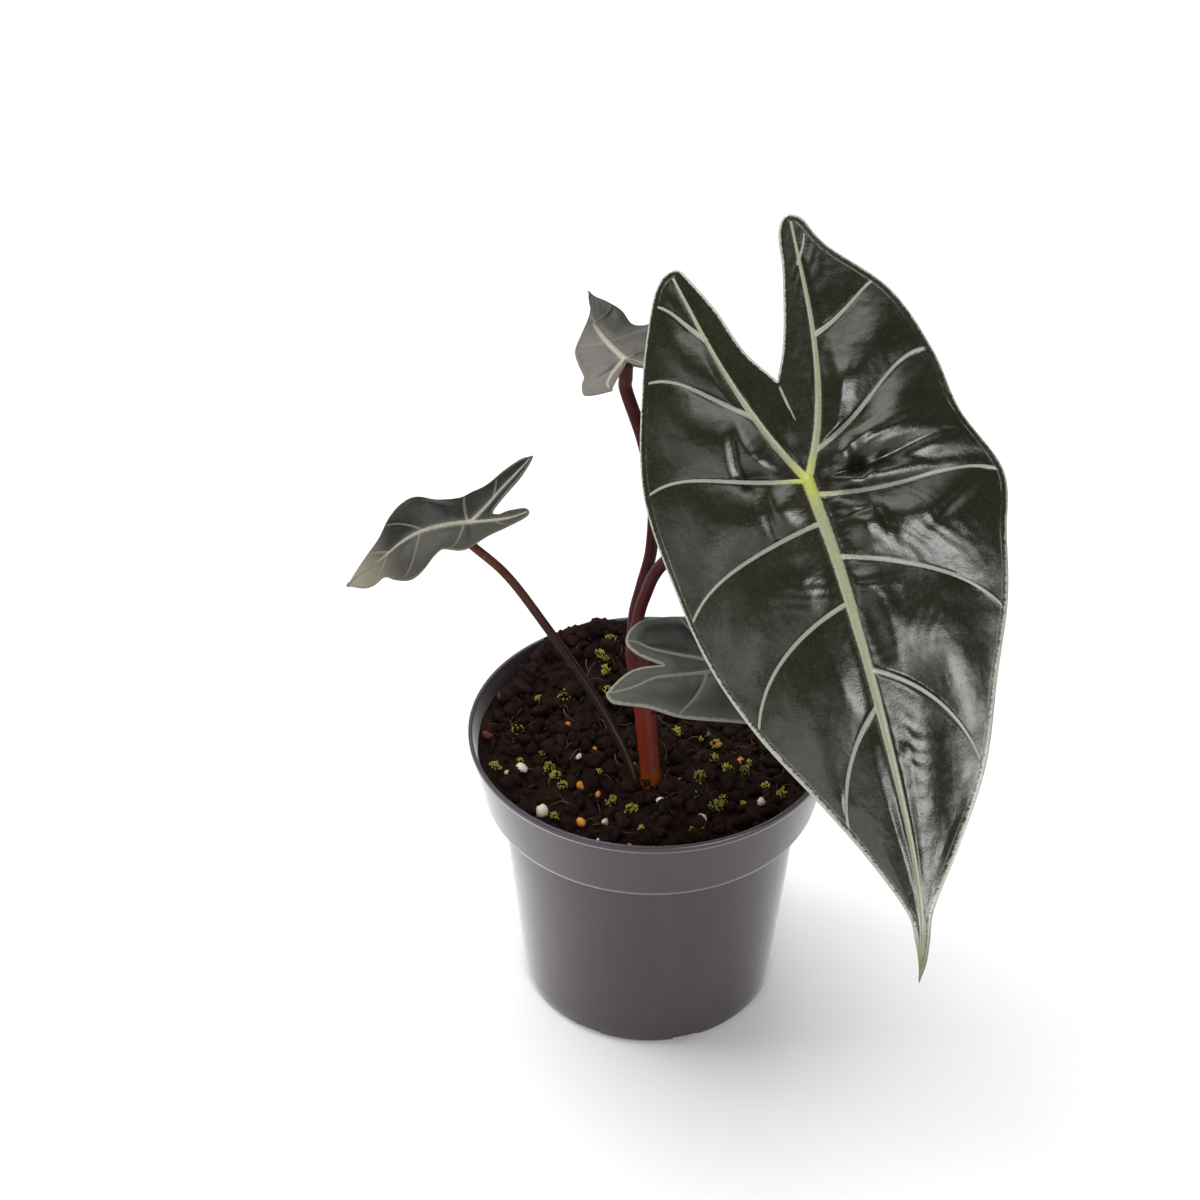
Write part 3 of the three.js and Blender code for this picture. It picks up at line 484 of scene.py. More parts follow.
def blade_material(name, look):
    shader = Shader(name)
    flat = shader.attribute("flat", "Vector")
    mottled = shader.noise(flat, 0.7, 5.0, 0.65)
    hair = blade_hair(shader, flat)
    wobble = shader.step(shader.noise(flat, 1.9, 4.0, 0.7), 0.3, 0.7, -look.fuzz, look.fuzz)
    rib = shader.math("ADD", shader.attribute("rib"), wobble)
    side = shader.math("ADD", shader.attribute("side"), wobble)
    outside, inside = 1.0 + look.vein_soft, 1.0 - look.vein_soft
    rib_mask = shader.step(rib, outside, inside)
    side_mask = shader.step(side, outside, inside, 0.0, look.side_strength)
    on_vein = shader.math("MAXIMUM", rib_mask, side_mask)

    colour = shader.fade(shader.noise(flat, 0.09, 4.0), 0.35, 0.7, look.dark, look.mid)
    colour = shader.fade(mottled, 0.45, 0.8, colour, look.light, 0.0, 0.6)
    across = shader.node("SeparateXYZ", Vector=flat).outputs["Y"]
    # Painted light and shade: past a set distance across the midrib, one half takes the near colour for how
    # it faces the lamps
    colour = shader.fade(across, -look.near_side, look.near_side, colour, look.near, 0.0, 0.75)
    colour = shader.fade(shader.attribute("edge"), look.band_width, 0.35 * look.band_width, colour, look.band,
                         0.0, look.band_strength)
    colour = shader.fade(rib, look.halo, 1.0, colour, look.vein_dark, 0.0, look.halo_strength)
    rib_tone = shader.fade(rib, 0.15, 1.0, look.rib_dark, look.rib)
    vein_tone = shader.mix(rib_mask, look.vein, rib_tone)
    vein_tone = shader.mix(shader.attribute("heart"), vein_tone, look.heart)
    vein_tone = shader.fade(mottled, 0.3, 0.75, vein_tone, look.vein_dark, 0.0, 0.4)
    colour = shader.mix(on_vein, colour, vein_tone)
    line = shader.math("ADD", shader.attribute("line"), shader.step(mottled, 0.3, 0.7, 0.0, 0.2))
    colour = shader.fade(line, 0.42, 0.15, colour, look.vein_dark, 0.0, look.line_strength)
    rim = shader.math("ADD", shader.attribute("rim"), shader.step(hair, 0.35, 0.7, -0.15, 0.35))
    colour = shader.fade(rim, 1.1, 0.6, colour, look.rim, 0.0, 0.9)
    colour = shader.mix(shader.attribute("tip"), colour, look.tip)
    back = shader.fade(mottled, 0.3, 0.8, look.under, look.under_light)
    back = shader.mix(shader.math("MULTIPLY", on_vein, 0.85), back, look.under_vein)
    colour = shader.mix(shader.attribute("under"), colour, back)

    rough = shader.step(mottled, 0.3, 0.7, look.rough - 0.03, look.rough + 0.05)
    rough = shader.math("ADD", rough, shader.math("MULTIPLY", on_vein, 0.15))
    coarse = shader.bump(mottled, 0.05 * MM, 0.4)
    brushed = shader.bump(hair, 0.1 * MM, look.grain, Normal=coarse)
    normal = shader.bump(shader.noise(flat, 2.1, 4.0, 0.7), 0.085 * MM, look.grain, Normal=brushed)
    return shader.finish(Base_Color=colour, Roughness=rough, Normal=normal, Specular_IOR_Level=look.gloss)


def pot_material():
    shader = Shader("pot_plastic")
    where = shader.place()
    broad = shader.noise(where, 14.0, 3.0)
    fine = shader.noise(where, 900.0, 3.0, 0.7)
    streaks = shader.noise(shader.stretched(where, (1, 1, 0.02)), 160.0, 4.0)
    colour = shader.fade(broad, 0.3, 0.7, POT_COLOUR, POT_COLOUR_WARM)
    colour = shader.fade(streaks, 0.45, 0.8, colour, POT_COLOUR_PALE, 0.0, 0.25)
    colour = shader.fade(shader.noise(where, 260.0, 5.0, 0.7), 0.62, 0.75, colour, POT_DUST, 0.0, 0.3)
    rough = shader.step(broad, 0.3, 0.7, 0.3, 0.38)
    rough = shader.math("ADD", rough, shader.step(streaks, 0.4, 0.8, 0.0, 0.08))
    ripples = shader.bump(streaks, 0.03 * MM, 0.5)
    normal = shader.bump(fine, 0.02 * MM, 0.6, Normal=ripples)
    return shader.finish(Base_Color=colour, Roughness=rough, Normal=normal, Specular_IOR_Level=0.45,
                         Sheen_Weight=0.9, Sheen_Roughness=0.3)


def toned_material(name, dark, light, rough, grain, bump_depth=0.25, gloss=0.4):
    # A grainy body whose tone differs from piece to piece
    shader = Shader(name)
    mottled = shader.noise(shader.place(), grain, 5.0, 0.65)
    share = shader.math("ADD", shader.math("MULTIPLY", shader.attribute("tone"), 0.6),
                        shader.step(mottled, 0.3, 0.7, 0.0, 0.4))
    colour = shader.mix(share, dark, light)
    normal = shader.bump(mottled, bump_depth * MM, 0.8)
    return shader.finish(Base_Color=colour, Roughness=rough, Normal=normal, Specular_IOR_Level=gloss)


def soil_material():
    shader = Shader("potting_mix")
    where = shader.place()
    mottled = shader.noise(where, 420.0, 6.0, 0.7)
    colour = shader.fade(mottled, 0.3, 0.75, SOIL_DARK, SOIL_LIGHT)
    colour = shader.fade(shader.noise(where, 70.0, 3.0), 0.5, 0.72, colour, SOIL_RUSTY, 0.0, 0.7)
    normal = shader.bump(mottled, 0.7 * MM, 0.9)
    return shader.finish(Base_Color=colour, Roughness=0.92, Normal=normal, Specular_IOR_Level=0.12)


def stem_material(name, foot, middle, top):
    shader = Shader(name)
    where = shader.place()
    along = shader.attribute("along")
    streaks = shader.noise(shader.stretched(where, (1, 1, 0.12)), 900.0, 4.0, 0.6)
    blotches = shader.noise(where, 130.0, 4.0)
    colour = shader.fade(along, 0.0, 0.45, foot, middle)
    colour = shader.fade(along, 0.5, 1.0, colour, top)
    darker = shader.mix(0.55, colour, STEM_DARK)
    colour = shader.fade(streaks, 0.4, 0.75, colour, darker, 0.0, 0.8)
    colour = shader.fade(blotches, 0.52, 0.75, colour, darker, 0.0, 0.5)
    rough = shader.step(blotches, 0.3, 0.7, 0.45, 0.6)
    normal = shader.bump(streaks, 0.12 * MM, 0.6)
    return shader.finish(Base_Color=colour, Roughness=rough, Normal=normal, Specular_IOR_Level=0.12)


def floor_material():
    shader = Shader("floor_paper")
    colour = shader.mix(shader.noise(shader.place(), 6.0), (0.86, 0.86, 0.86), (0.88, 0.88, 0.88))
    return shader.finish(Base_Color=colour, Roughness=0.9, Specular_IOR_Level=0.0)


# Blades
class SmoothLine:
    # A smooth line through a few chosen points of the flat blade, or of space, measured along its length
    def __init__(self, points, samples=500):
        anchors = np.array([tuple(point) + (0,) * (3 - len(point)) for point in points], float)
        before = 2 * anchors[0] - anchors[1]
        after = 2 * anchors[-1] - anchors[-2]
        self.anchors = np.vstack([before, anchors, after])
        self.shares = np.linspace(0, 1, samples)
        self.samples = self.place(self.shares)
        steps = np.linalg.norm(np.diff(self.samples, axis=0), axis=1)
        self.lengths = np.concatenate([[0], np.cumsum(steps)])
        self.length = self.lengths[-1]

    def place(self, shares):
        spans = len(self.anchors) - 3
        scaled = np.clip(np.asarray(shares, float), 0, 1) * spans
        first = np.minimum(scaled.astype(int), spans - 1)
        t = (scaled - first)[..., None]
        a, b, c, d = (self.anchors[first + k] for k in range(4))
        return b + 0.5 * t * (c - a + t * (2 * a - 5 * b + 4 * c - d + t * (3 * (b - c) + d - a)))

    def at(self, fraction):
        wanted = np.clip(fraction, 0, 1) * self.length
        return self.place(np.interp(wanted, self.lengths, self.shares))

    def where_along(self, u):
        return np.interp(u, self.samples[:, 0], self.lengths) / self.length


class Sheet:
    # A flat blade as shared points and triangles
    def __init__(self):
        self.points = []
        self.triangles = []
        self.known = {}

    def point(self, u, v, lift):
        key = (round(u, 3), round(v, 3))
        if key not in self.known:
            self.known[key] = len(self.points)
            self.points.append((u, v, lift))
        return self.known[key]

    def rows(self, flat):
        return [[self.point(*spot) for spot in row] for row in flat.tolist()]

    def grid(self, rows, flip):
        for row, following in zip(rows, rows[1:]):
            for j in range(len(row) - 1):
                self.triangle(row[j], following[j], following[j + 1], flip)
                self.triangle(row[j], following[j + 1], row[j + 1], flip)

    # Joins two rows whose points don't match, going along both at the same pace
    def stitch(self, inner, outer, flip):
        i = j = 0
        while i + 1 < len(inner) or j + 1 < len(outer):
            inner_next = inner[i + 1][0] if i + 1 < len(inner) else math.inf
            outer_next = outer[j + 1][0] if j + 1 < len(outer) else math.inf
            if inner_next <= outer_next:
                self.triangle(inner[i][1], inner[i + 1][1], outer[j][1], flip)
                i += 1
            else:
                self.triangle(inner[i][1], outer[j + 1][1], outer[j][1], flip)
                j += 1

    def triangle(self, a, b, c, flip):
        if a != b and b != c and c != a:
            self.triangles.append((a, c, b) if flip else (a, b, c))


# The lines drawn across one half, in order from its lobe to the tip, with its veins among them
def cross_lines(leaf, half, ribs):
    ends = [(-ribs.lobe.length, 0.0, 0.0, 0.0, False)]
    ends += [(vein[0], ribs.margin.where_along(vein[1]), *vein[2:], True) for vein in half.veins]
    ends.append((ribs.midrib.length, 1.0, 0.0, 0.0, False))
    joint = next(i for i, end in enumerate(ends) if end[0] >= 0)
    if ends[joint][0] > 0:
        before, after = ends[joint - 1], ends[joint]
        share = -before[0] / (after[0] - before[0])
        ends.insert(joint, (*(lerp(before[k], after[k], share) for k in range(4)), False))
    lines = []
    for a, b in zip(ends, ends[1:]):
        gap = max(b[0] - a[0], (b[1] - a[1]) * ribs.margin.length)
        for share in shares_between(gap, leaf.step, a[4], b[4]):
            lines.append([share] + [lerp(a[k], b[k], share) for k in range(4)])
    lines.append([0.0, ribs.midrib.length, 1.0, 0.0, 0.0])
    return np.array(lines)


# Shares of the way between two veins: close together beside each vein, and even between
def shares_between(gap, step, vein_before, vein_after):
    near = [min(0.03 * (k + 1), distance / gap) for k, distance in enumerate(BESIDE_VEIN)]
    first = [0.0] + near if vein_before else [0.0]
    last = [1 - share for share in reversed(near)] if vein_after else []
    low = first[-1]
    high = last[0] if last else 1.0
    count = max(1, round(gap * (high - low) / step))
    middle = [lerp(low, high, k / count) for k in range(1, count)]
    return first + middle + last


# Shares of the way from a rib to the edge for each row, which spans so many millimetres
def shares_across(spans, columns):
    spans = np.maximum(spans, 1e-6)[:, None]
    scale = np.minimum(1, 0.3 * spans / BESIDE_RIB[-1])
    near = np.array((0.0,) + BESIDE_RIB)[None, :] * scale / spans
    scale = np.minimum(1, 0.4 * spans / BESIDE_EDGE[-1])
    far = 1 - np.array((0.0,) + BESIDE_EDGE)[::-1][None, :] * scale / spans
    middle = lerp(near[:, -1:], far[:, :1], np.linspace(0, 1, columns)[None, 1:-1])
    return np.hstack([near, middle, far])


# Rows from the ribs to the outer margin, which bow like the veins and puff up between them
def outer_rows(leaf, ribs, lines):
    share, start, reach, bow, hook = lines.T
    on_lobe = ribs.lobe.at(-start / ribs.lobe.length)
    on_midrib = ribs.midrib.at(start / ribs.midrib.length)
    foot = np.where((start < 0)[:, None], on_lobe, on_midrib)
    end = ribs.margin.at(reach)
    chord = end - foot
    span = np.hypot(chord[:, 0], chord[:, 1]) + 1e-6
    room = np.minimum(1, span / (0.14 * leaf.length))
    backward = np.column_stack([-np.abs(chord[:, 1]), chord[:, 0] * np.sign(chord[:, 1])]) / span[:, None]
    t = shares_across(span, leaf.columns)
    offset = room[:, None] * (bow[:, None] * 2 * t * (1 - t) + hook[:, None] * HOOK_SHAPE * t ** 3 * (1 - t))
    flat = foot[:, None] + chord[:, None] * t[:, :, None]
    flat[:, :, :2] += backward[:, None] * offset[:, :, None]
    past_rib = np.clip((t - 0.05) / 0.95, 0, 1)
    to_tip = smooth(start, 0.25 * leaf.length, 0.65 * leaf.length)
    to_lobe = smooth(-start, 0.1 * leaf.length, 0.35 * leaf.length)
    fading = lerp(1, ribs.tip_puff, to_tip) * lerp(1, leaf.lobe_puff, to_lobe)
    puff = leaf.puff * fading * np.minimum(1, span / FULL_PUFF_SPAN) * np.sin(math.pi * share)
    lift = lerp(foot[:, 2:3], end[:, 2:3], t ** 1.5)
    flat[:, :, 2] = lift + puff[:, None] * smooth(past_rib, 0, PUFF_RISE) * (1 - smooth(past_rib, 0.5, 1))
    return flat


def inner_rows(leaf, ribs, lines):
    start = lines[lines[:, 1] <= 0, 1]
    share = -start / ribs.lobe.length
    foot = ribs.lobe.at(share)
    end = ribs.inner.at(share)
    t = shares_across(np.linalg.norm(end - foot, axis=1), max(6, leaf.columns // 3))[:, :, None]
    return lerp(foot[:, None], end[:, None], t)


# The flat blade: its points with their lift, its triangles, and each half's lines
def flat_blade(leaf):
    sheet = Sheet()
    halves = []
    for half, tip_puff in zip(leaf.halves, leaf.tip_puffs):
        ribs = SimpleNamespace(midrib=SmoothLine(leaf.midrib), lobe=SmoothLine(half.rib), tip_puff=tip_puff,
                               margin=SmoothLine(half.margin), inner=SmoothLine(half.inner))
        halves.append((half, ribs, cross_lines(leaf, half, ribs)))
    starts = np.concatenate([lines[:, 1] for _, _, lines in halves])
    places = np.unique(starts[starts >= 0])
    midrib = halves[0][1].midrib
    spine = [(place, sheet.point(*midrib.at(place / midrib.length))) for place in places]
    for side, (half, ribs, lines) in enumerate(halves):
        rows = sheet.rows(outer_rows(leaf, ribs, lines))
        joint = int(np.argmax(lines[:, 1] >= 0))
        beside = [(place, row[1]) for place, row in zip(lines[joint:, 1], rows[joint:])]
        sheet.grid(rows[:joint + 1], side == 0)
        sheet.grid([row[1:] for row in rows[joint:]], side == 0)
        sheet.stitch(spine, beside, side == 0)
        sheet.grid(sheet.rows(inner_rows(leaf, ribs, lines)), side == 1)
    return sheet, halves


# Distance from each flat point to a line, and how far along that line its nearest place is
def nearest(points, line):
    best = np.full(len(points), np.inf)
    share = np.zeros(len(points))
    total = len(line) - 1
    for k in range(total):
        a, b = line[k], line[k + 1]
        along = b - a
        t = np.clip((points - a) @ along / max(along @ along, 1e-12), 0, 1)
        distance = np.linalg.norm(points - a - t[:, None] * along, axis=1)
        closer = distance < best
        best[closer] = distance[closer]
        share[closer] = (k + t[closer]) / total
    return best, share


def vein_curve(leaf, ribs, vein):
    start, reach, bow, hook = vein
    line = np.array([[0.0, start, ribs.margin.where_along(reach), bow, hook]])
    return outer_rows(with_defaults(vars(leaf), columns=20), ribs, line)[0, :, :2]


# Ribs and side veins, each as (points, half width at its start, half width at its end)
def midrib_lines(leaf, halves):
    midrib = halves[0][1].midrib.at(np.linspace(0, 1, 60))[:, :2]
    return [(midrib, 1.05 * leaf.rib_width, 0.22 * leaf.rib_width)]


def lobe_lines(leaf, halves):
    lines = [ribs.lobe.at(np.linspace(0, 1, 30))[:, :2] for _, ribs, _ in halves]
    return [(line, 0.72 * leaf.rib_width, 0.2 * leaf.rib_width) for line in lines]


def side_lines(leaf, halves):
    width = leaf.vein_width
    lines = []
    for half, ribs, _ in halves:
        lines += [(vein_curve(leaf, ribs, vein), width, 0.4 * width) for vein in half.veins]
    return lines + [(np.array(twig, float), 0.55 * width, 0.25 * width) for twig in leaf.twigs]


# Distance to the nearest line in half widths, and how far its ridge stands out
def near_lines(flat, lines):
    relative = np.full(len(flat), float(FAR))
    ridge = np.zeros(len(flat))
    for line, wide, narrow in lines:
        distance, share = nearest(flat, line)
        width = lerp(wide, narrow, share)
        relative = np.minimum(relative, distance / width)
        ridge = np.maximum(ridge, width * (1 - smooth(distance / width, 0.2, 1.5)))
    return relative, ridge


def nearest_of(flat, lines):
    distances = [nearest(flat, line.at(np.linspace(0, 1, 90))[:, :2])[0] for line in lines]
    return np.minimum.reduce(distances)


# What every point of the flat blade knows about its place: ribs, veins, edge, joint and tip
def blade_fields(leaf, halves, points):
    flat = points[:, :2]
    u, v = flat.T
    outer_edge = nearest_of(flat, [ribs.margin for _, ribs, _ in halves])
    edge = np.minimum(outer_edge, nearest_of(flat, [ribs.inner for _, ribs, _ in halves]))
    inside = smooth(edge, 0.5 * leaf.edge_vein_inset, leaf.edge_vein_inset)
    midrib, midrib_ridge = near_lines(flat, midrib_lines(leaf, halves))
    lobe, lobe_ridge = near_lines(flat, lobe_lines(leaf, halves))
    side, side_ridge = near_lines(flat, side_lines(leaf, halves))
    length = leaf.midrib[-1][0]
    along_rib = np.exp(-np.abs(v) / 6) * smooth(u, -4, 4) * (1 - smooth(u, 0.07 * length, 0.5 * length))
    ridge = np.maximum(midrib_ridge, np.maximum(lobe_ridge, side_ridge) * inside)
    return SimpleNamespace(
        flat=flat, edge=edge, ridge=ridge,
        rim=edge / lerp(*leaf.rim_widths, smooth(u, 0, 0.55 * length)),
        line=np.abs(outer_edge - leaf.edge_vein_inset),
        rib=np.minimum(midrib, lobe + FAR * (1 - inside)), side=side + FAR * (1 - inside),
        heart=np.exp(-(np.linalg.norm(flat, axis=1) / (0.045 * length)) ** 2) + 0.15 * along_rib,
        tip=smooth(u, leaf.tip_from * length, 0.97 * length),
    )


# Fractal noise over the flat blade, with a grain of so many millimetres each way
def cloudy(flat, along, across, layer, roughness, octaves):
    places = [Vector((a / along, b / across, layer)) for a, b in flat]
    return np.array([noise.fractal(place, roughness, 2.1, octaves) for place in places])


# Fine shape between the veins: puckers, ripples and a gentle unevenness
def fine_relief(leaf, fields):
    u, v = fields.flat.T
    lift = np.zeros(len(u))
    for centre_u, centre_v, half_length, half_width, turn, height in leaf.puckers:
        cos, sin = math.cos(math.radians(turn)), math.sin(math.radians(turn))
        along = (u - centre_u) * cos + (v - centre_v) * sin
        aside = (v - centre_v) * cos - (u - centre_u) * sin
        lift += height * np.exp(-(along / half_length) ** 2 - (aside / half_width) ** 2)
    sway = np.array([noise.noise(Vector((a / 9, b / 9, 3.1))) for a, b in fields.flat])
    for centre_u, centre_v, half_length, half_width, turn, spacing, height in leaf.ripples:
        away = ((u - centre_u) / half_length) ** 2 + ((v - centre_v) / half_width) ** 2
        along = (u - centre_u) * math.cos(math.radians(turn)) + (v - centre_v) * math.sin(math.radians(turn))
        lift += height * np.exp(-away) * np.sin(2 * math.pi * along / spacing + 5 * sway)
    scale = leaf.length / 13
    lift += leaf.unevenness * cloudy(fields.flat, scale, scale, 7.7, 0.9, 4)
    crumpled = cloudy(fields.flat, 2.6, 4.2, 1.7, 0.8, 3)
    lift += leaf.crumple * crumpled * (0.3 + np.exp(-np.hypot(u - 4, v - 8) / (0.2 * leaf.length)))
    return lift * smooth(fields.edge, 0, 4) * smooth(np.minimum(fields.rib, fields.side), 0.9, 2.2)


# Bends points of the flat blade into their arched, folded place in space
def bend(leaf, u, v, height):
    heading, pitch, roll, fold = np.radians([leaf.heading, leaf.pitch, leaf.roll, leaf.fold])
    level = np.array([math.sin(heading), -math.cos(heading), 0])
    zenith = np.array([0, 0, 1.0])
    along = level * math.cos(pitch) - zenith * math.sin(pitch)
    upright = level * math.sin(pitch) + zenith * math.cos(pitch)
    sideways = np.cross(upright, along)
    across = sideways * math.cos(roll) + upright * math.sin(roll)
    up = upright * math.cos(roll) - sideways * math.sin(roll)
    rate = np.radians(np.where(u < 0, leaf.back_arch / leaf.back_length, leaf.arch / leaf.length))
    turn = rate * np.abs(u)
    forward = np.sign(u) * np.sin(turn) / rate
    drop = (1 - np.cos(turn)) / rate
    tilt = np.sign(u) * turn
    local_up = np.outer(np.cos(tilt), up) + np.outer(np.sin(tilt), along)
    midrib = SmoothLine(leaf.midrib).samples
    sway = np.where(u > 0, np.interp(u, midrib[:, 0], midrib[:, 1]), 0)
    side = v - sway
    bend_rate = math.radians(leaf.curl) / leaf.curl_width
    slope = fold + bend_rate * np.abs(side)
    reach = (np.sin(slope) - math.sin(fold)) / bend_rate
    fall = (math.cos(fold) - np.cos(slope)) / bend_rate
    place = np.array(leaf.at) + np.outer(forward, along) - np.outer(drop, up)
    place += np.outer(sway + np.sign(side) * reach, across) - local_up * fall[:, None]
    place += local_up * (np.cos(slope) * height)[:, None]
    place += np.outer(np.sign(side) * np.sin(slope) * height, across)
    return place


# Strips that close the blade's edge between its upper and lower faces
def edge_strips(triangles, count):
    open_edges = {}
    for a, b, c in triangles:
        for start, end in ((a, b), (b, c), (c, a)):
            if open_edges.pop((end, start), None) is None:
                open_edges[(start, end)] = True
    strips = []
    for start, end in open_edges:
        strips.append((start, count + start, end))
        strips.append((end, count + start, count + end))
    return strips


def make_leaf(leaf, material):
    sheet, halves = flat_blade(leaf)
    points = np.array(sheet.points)
    fields = blade_fields(leaf, halves, points)
    u, v, lift = points.T
    lift = lift + fine_relief(leaf, fields)
    bead = EDGE_BEAD * np.exp(-((fields.edge - 0.6) / 0.45) ** 2)
    half_thick = lerp(*HALF_THICKNESS, smooth(fields.edge, 0, 1.2)) + bead
    top = bend(leaf, u, v, lift + half_thick + leaf.vein_rise * fields.ridge)
    under = bend(leaf, u, v, lift - half_thick - UNDER_RIDGE * fields.ridge)
    count = len(points)
    faces = list(sheet.triangles)
    faces += [(count + a, count + c, count + b) for a, b, c in sheet.triangles]
    faces += edge_strips(sheet.triangles, count)
    piece = make_piece(leaf.name + "_blade", np.vstack([top, under]), faces, material, [leaf.name])
    for name in ("rib", "side", "edge", "rim", "line", "heart", "tip"):
        set_attribute(piece, name, np.tile(getattr(fields, name), 2))
    is_under = np.repeat([0.0, 1.0], count)
    set_attribute(piece, "under", is_under)
    set_attribute(piece, "flat", np.column_stack([np.tile(fields.flat, (2, 1)), UNDERSIDE_OFFSET * is_under]))


# Turned and tube-like forms
def rounded(points, radius, steps=5):
    # A line through the points, with its corners turned into arcs
    points = np.array(points, float)
    line = [points[0]]
    for before, corner, after in zip(points, points[1:], points[2:]):
        into, out = before - corner, after - corner
        cut = min(radius, 0.45 * np.linalg.norm(into), 0.45 * np.linalg.norm(out))
        start = corner + into / np.linalg.norm(into) * cut
        end = corner + out / np.linalg.norm(out) * cut
        for t in np.linspace(0, 1, steps):
            line.append(lerp(lerp(start, corner, t), lerp(corner, end, t), t))
    line.append(points[-1])
    return np.array(line)


def side_strip(first, k, sides, steps):
    # Faces that join point k of each ring and the point after it, from the ring whose points start at first
    following = (k + 1) % sides
    lows = [first + ring * sides for ring in range(steps)]
    return [(low + k, low + following, low + sides + following, low + sides + k) for low in lows]


def turned(outline, sides):
    # Turns a line of (radius, height), which starts and ends on the axis, into a closed surface
    angles = np.linspace(0, 2 * math.pi, sides, endpoint=False)
    points = [(0, 0, outline[0][1])]
    for radius, height in outline[1:-1]:
        points += [(radius * math.cos(a), radius * math.sin(a), height) for a in angles]
    points.append((0, 0, outline[-1][1]))
    rings = len(outline) - 2
    top = 1 + (rings - 1) * sides
    faces = []
    for k in range(sides):
        following = (k + 1) % sides
        faces.append((0, 1 + following, 1 + k))
        faces += side_strip(1, k, sides, rings - 1)
        faces.append((top + k, top + following, len(points) - 1))
    return np.array(points), faces


def tube(route, radius_at, sides, steps):
    # A closed rod along a smooth route. radius_at takes a share along it and angles round it.
    shares = np.linspace(0, 1, steps + 1)
    middle = SmoothLine(route).at(shares)
    heading = np.gradient(middle, axis=0)
    heading /= np.linalg.norm(heading, axis=1)[:, None]
    side = np.cross(heading[0], (0.0, 1.0, 0.0))
    angles = np.linspace(0, 2 * math.pi, sides, endpoint=False)
    points = []
    for place, ahead, share in zip(middle, heading, shares):
        side = side - ahead * (side @ ahead)
        side /= np.linalg.norm(side)
        up = np.cross(ahead, side)
        radius = radius_at(share, angles)[:, None]
        points.append(place + radius * (np.outer(np.cos(angles), side) + np.outer(np.sin(angles), up)))
    points = np.vstack(points + [middle[:1], middle[-1:]])
    count = sides * (steps + 1)
    faces = []
    for k in range(sides):
        following = (k + 1) % sides
        faces += side_strip(0, k, sides, steps)
        faces.append((count, following, k))
        faces.append((count + 1, steps * sides + k, steps * sides + following))
    along = np.concatenate([np.repeat(shares, sides), [0, 1]])
    return points, faces, along


# Pot
def inner_wall(inset):
    wall = WALL + inset
    return [
        (BODY_FOOT_RADIUS - wall - 0.6, FLOOR + inset),
        (BODY_TOP_RADIUS - wall, BODY_TOP_HEIGHT),
        (BODY_TOP_RADIUS - wall + 0.6, BODY_TOP_HEIGHT + 2),
        (BAND_FOOT_RADIUS - wall, BAND_FOOT_HEIGHT + 1),
    ]


def pot_outline():
    outside = [
        (BODY_FOOT_RADIUS - FOOT_BEVEL, 0),
        (BODY_FOOT_RADIUS - 0.1 * FOOT_BEVEL, 0.4 * FOOT_BEVEL),
        (BODY_FOOT_RADIUS + 0.3, 2 * FOOT_BEVEL),
        (BODY_TOP_RADIUS, BODY_TOP_HEIGHT),
        (BODY_TOP_RADIUS + WALL, BODY_TOP_HEIGHT + WALL),
        (BAND_FOOT_RADIUS - 0.7 * WALL, BAND_FOOT_HEIGHT - 0.8 * WALL),
        (BAND_FOOT_RADIUS, BAND_FOOT_HEIGHT + 0.6),
        (RIM_RADIUS - 0.5 * WALL, POT_HEIGHT - 2.2 * WALL),
        (RIM_RADIUS, POT_HEIGHT - 1.5 * WALL),
        (RIM_RADIUS, POT_HEIGHT),
        (RIM_RADIUS - 1.1 * WALL, POT_HEIGHT),
        (RIM_RADIUS - 1.6 * WALL, POT_HEIGHT - 2.5 * WALL),
    ]
    return rounded([(0, 0)] + outside + inner_wall(0)[::-1] + [(0, FLOOR)], CORNER_RADIUS)


def drain_slots():
    corners = np.array([(x, y, z) for x in (-1, 1) for y in (-1, 1) for z in (-1, 1)], float)
    slot = corners * (DRAIN_SLOT.depth / 2, DRAIN_SLOT.width / 2, DRAIN_SLOT.height)
    slot[:, 0] += BODY_FOOT_RADIUS
    sides = [(0, 1, 3, 2), (4, 6, 7, 5), (0, 4, 5, 1), (2, 3, 7, 6), (0, 2, 6, 4), (1, 5, 7, 3)]
    points = []
    faces = []
    for k in range(DRAIN_SLOTS):
        points.append(rotated(slot, 0, 1, math.radians(DRAIN_FIRST_ANGLE + 360 / DRAIN_SLOTS * k)))
        faces += [tuple(8 * k + corner for corner in side) for side in sides]
    return np.vstack(points), faces


def cut_away(piece, points, faces):
    cutter = new_object("cutter", points, faces)
    cut = piece.modifiers.new("slots", "BOOLEAN")
    cut.operation = "DIFFERENCE"
    cut.object = cutter
    cut.solver = "EXACT"
    graph = bpy.context.evaluated_depsgraph_get()
    finished = bpy.data.meshes.new_from_object(piece.evaluated_get(graph))
    piece.modifiers.clear()
    piece.data = finished
    bpy.data.objects.remove(cutter)


def make_pot(material):
    points, faces = turned(pot_outline(), POT_SIDES)
    pot = make_piece("pot_shell", points, faces, material, ["pot"])
    cut_away(pot, *drain_slots())
    pot.data.shade_smooth()
    pot.data.set_sharp_from_angle(angle=math.radians(SHARP_ANGLE))


# Soil
def soil_height(x, y):
    height = 1.1 * np.sin(x / 6.1 + 1) * np.cos(y / 5.3) + 0.7 * np.sin(x / 2.9 + y / 3.7)
    for mound_x, mound_y, rise, spread in MOUNDS:
        height = height + rise * np.exp(-((x - mound_x) ** 2 + (y - mound_y) ** 2) / spread ** 2)
    near_wall = smooth(np.hypot(x, y), 0.7 * SOIL_RADIUS, SOIL_RADIUS)
    return SOIL_LEVEL + height * (1 - 0.25 * near_wall)


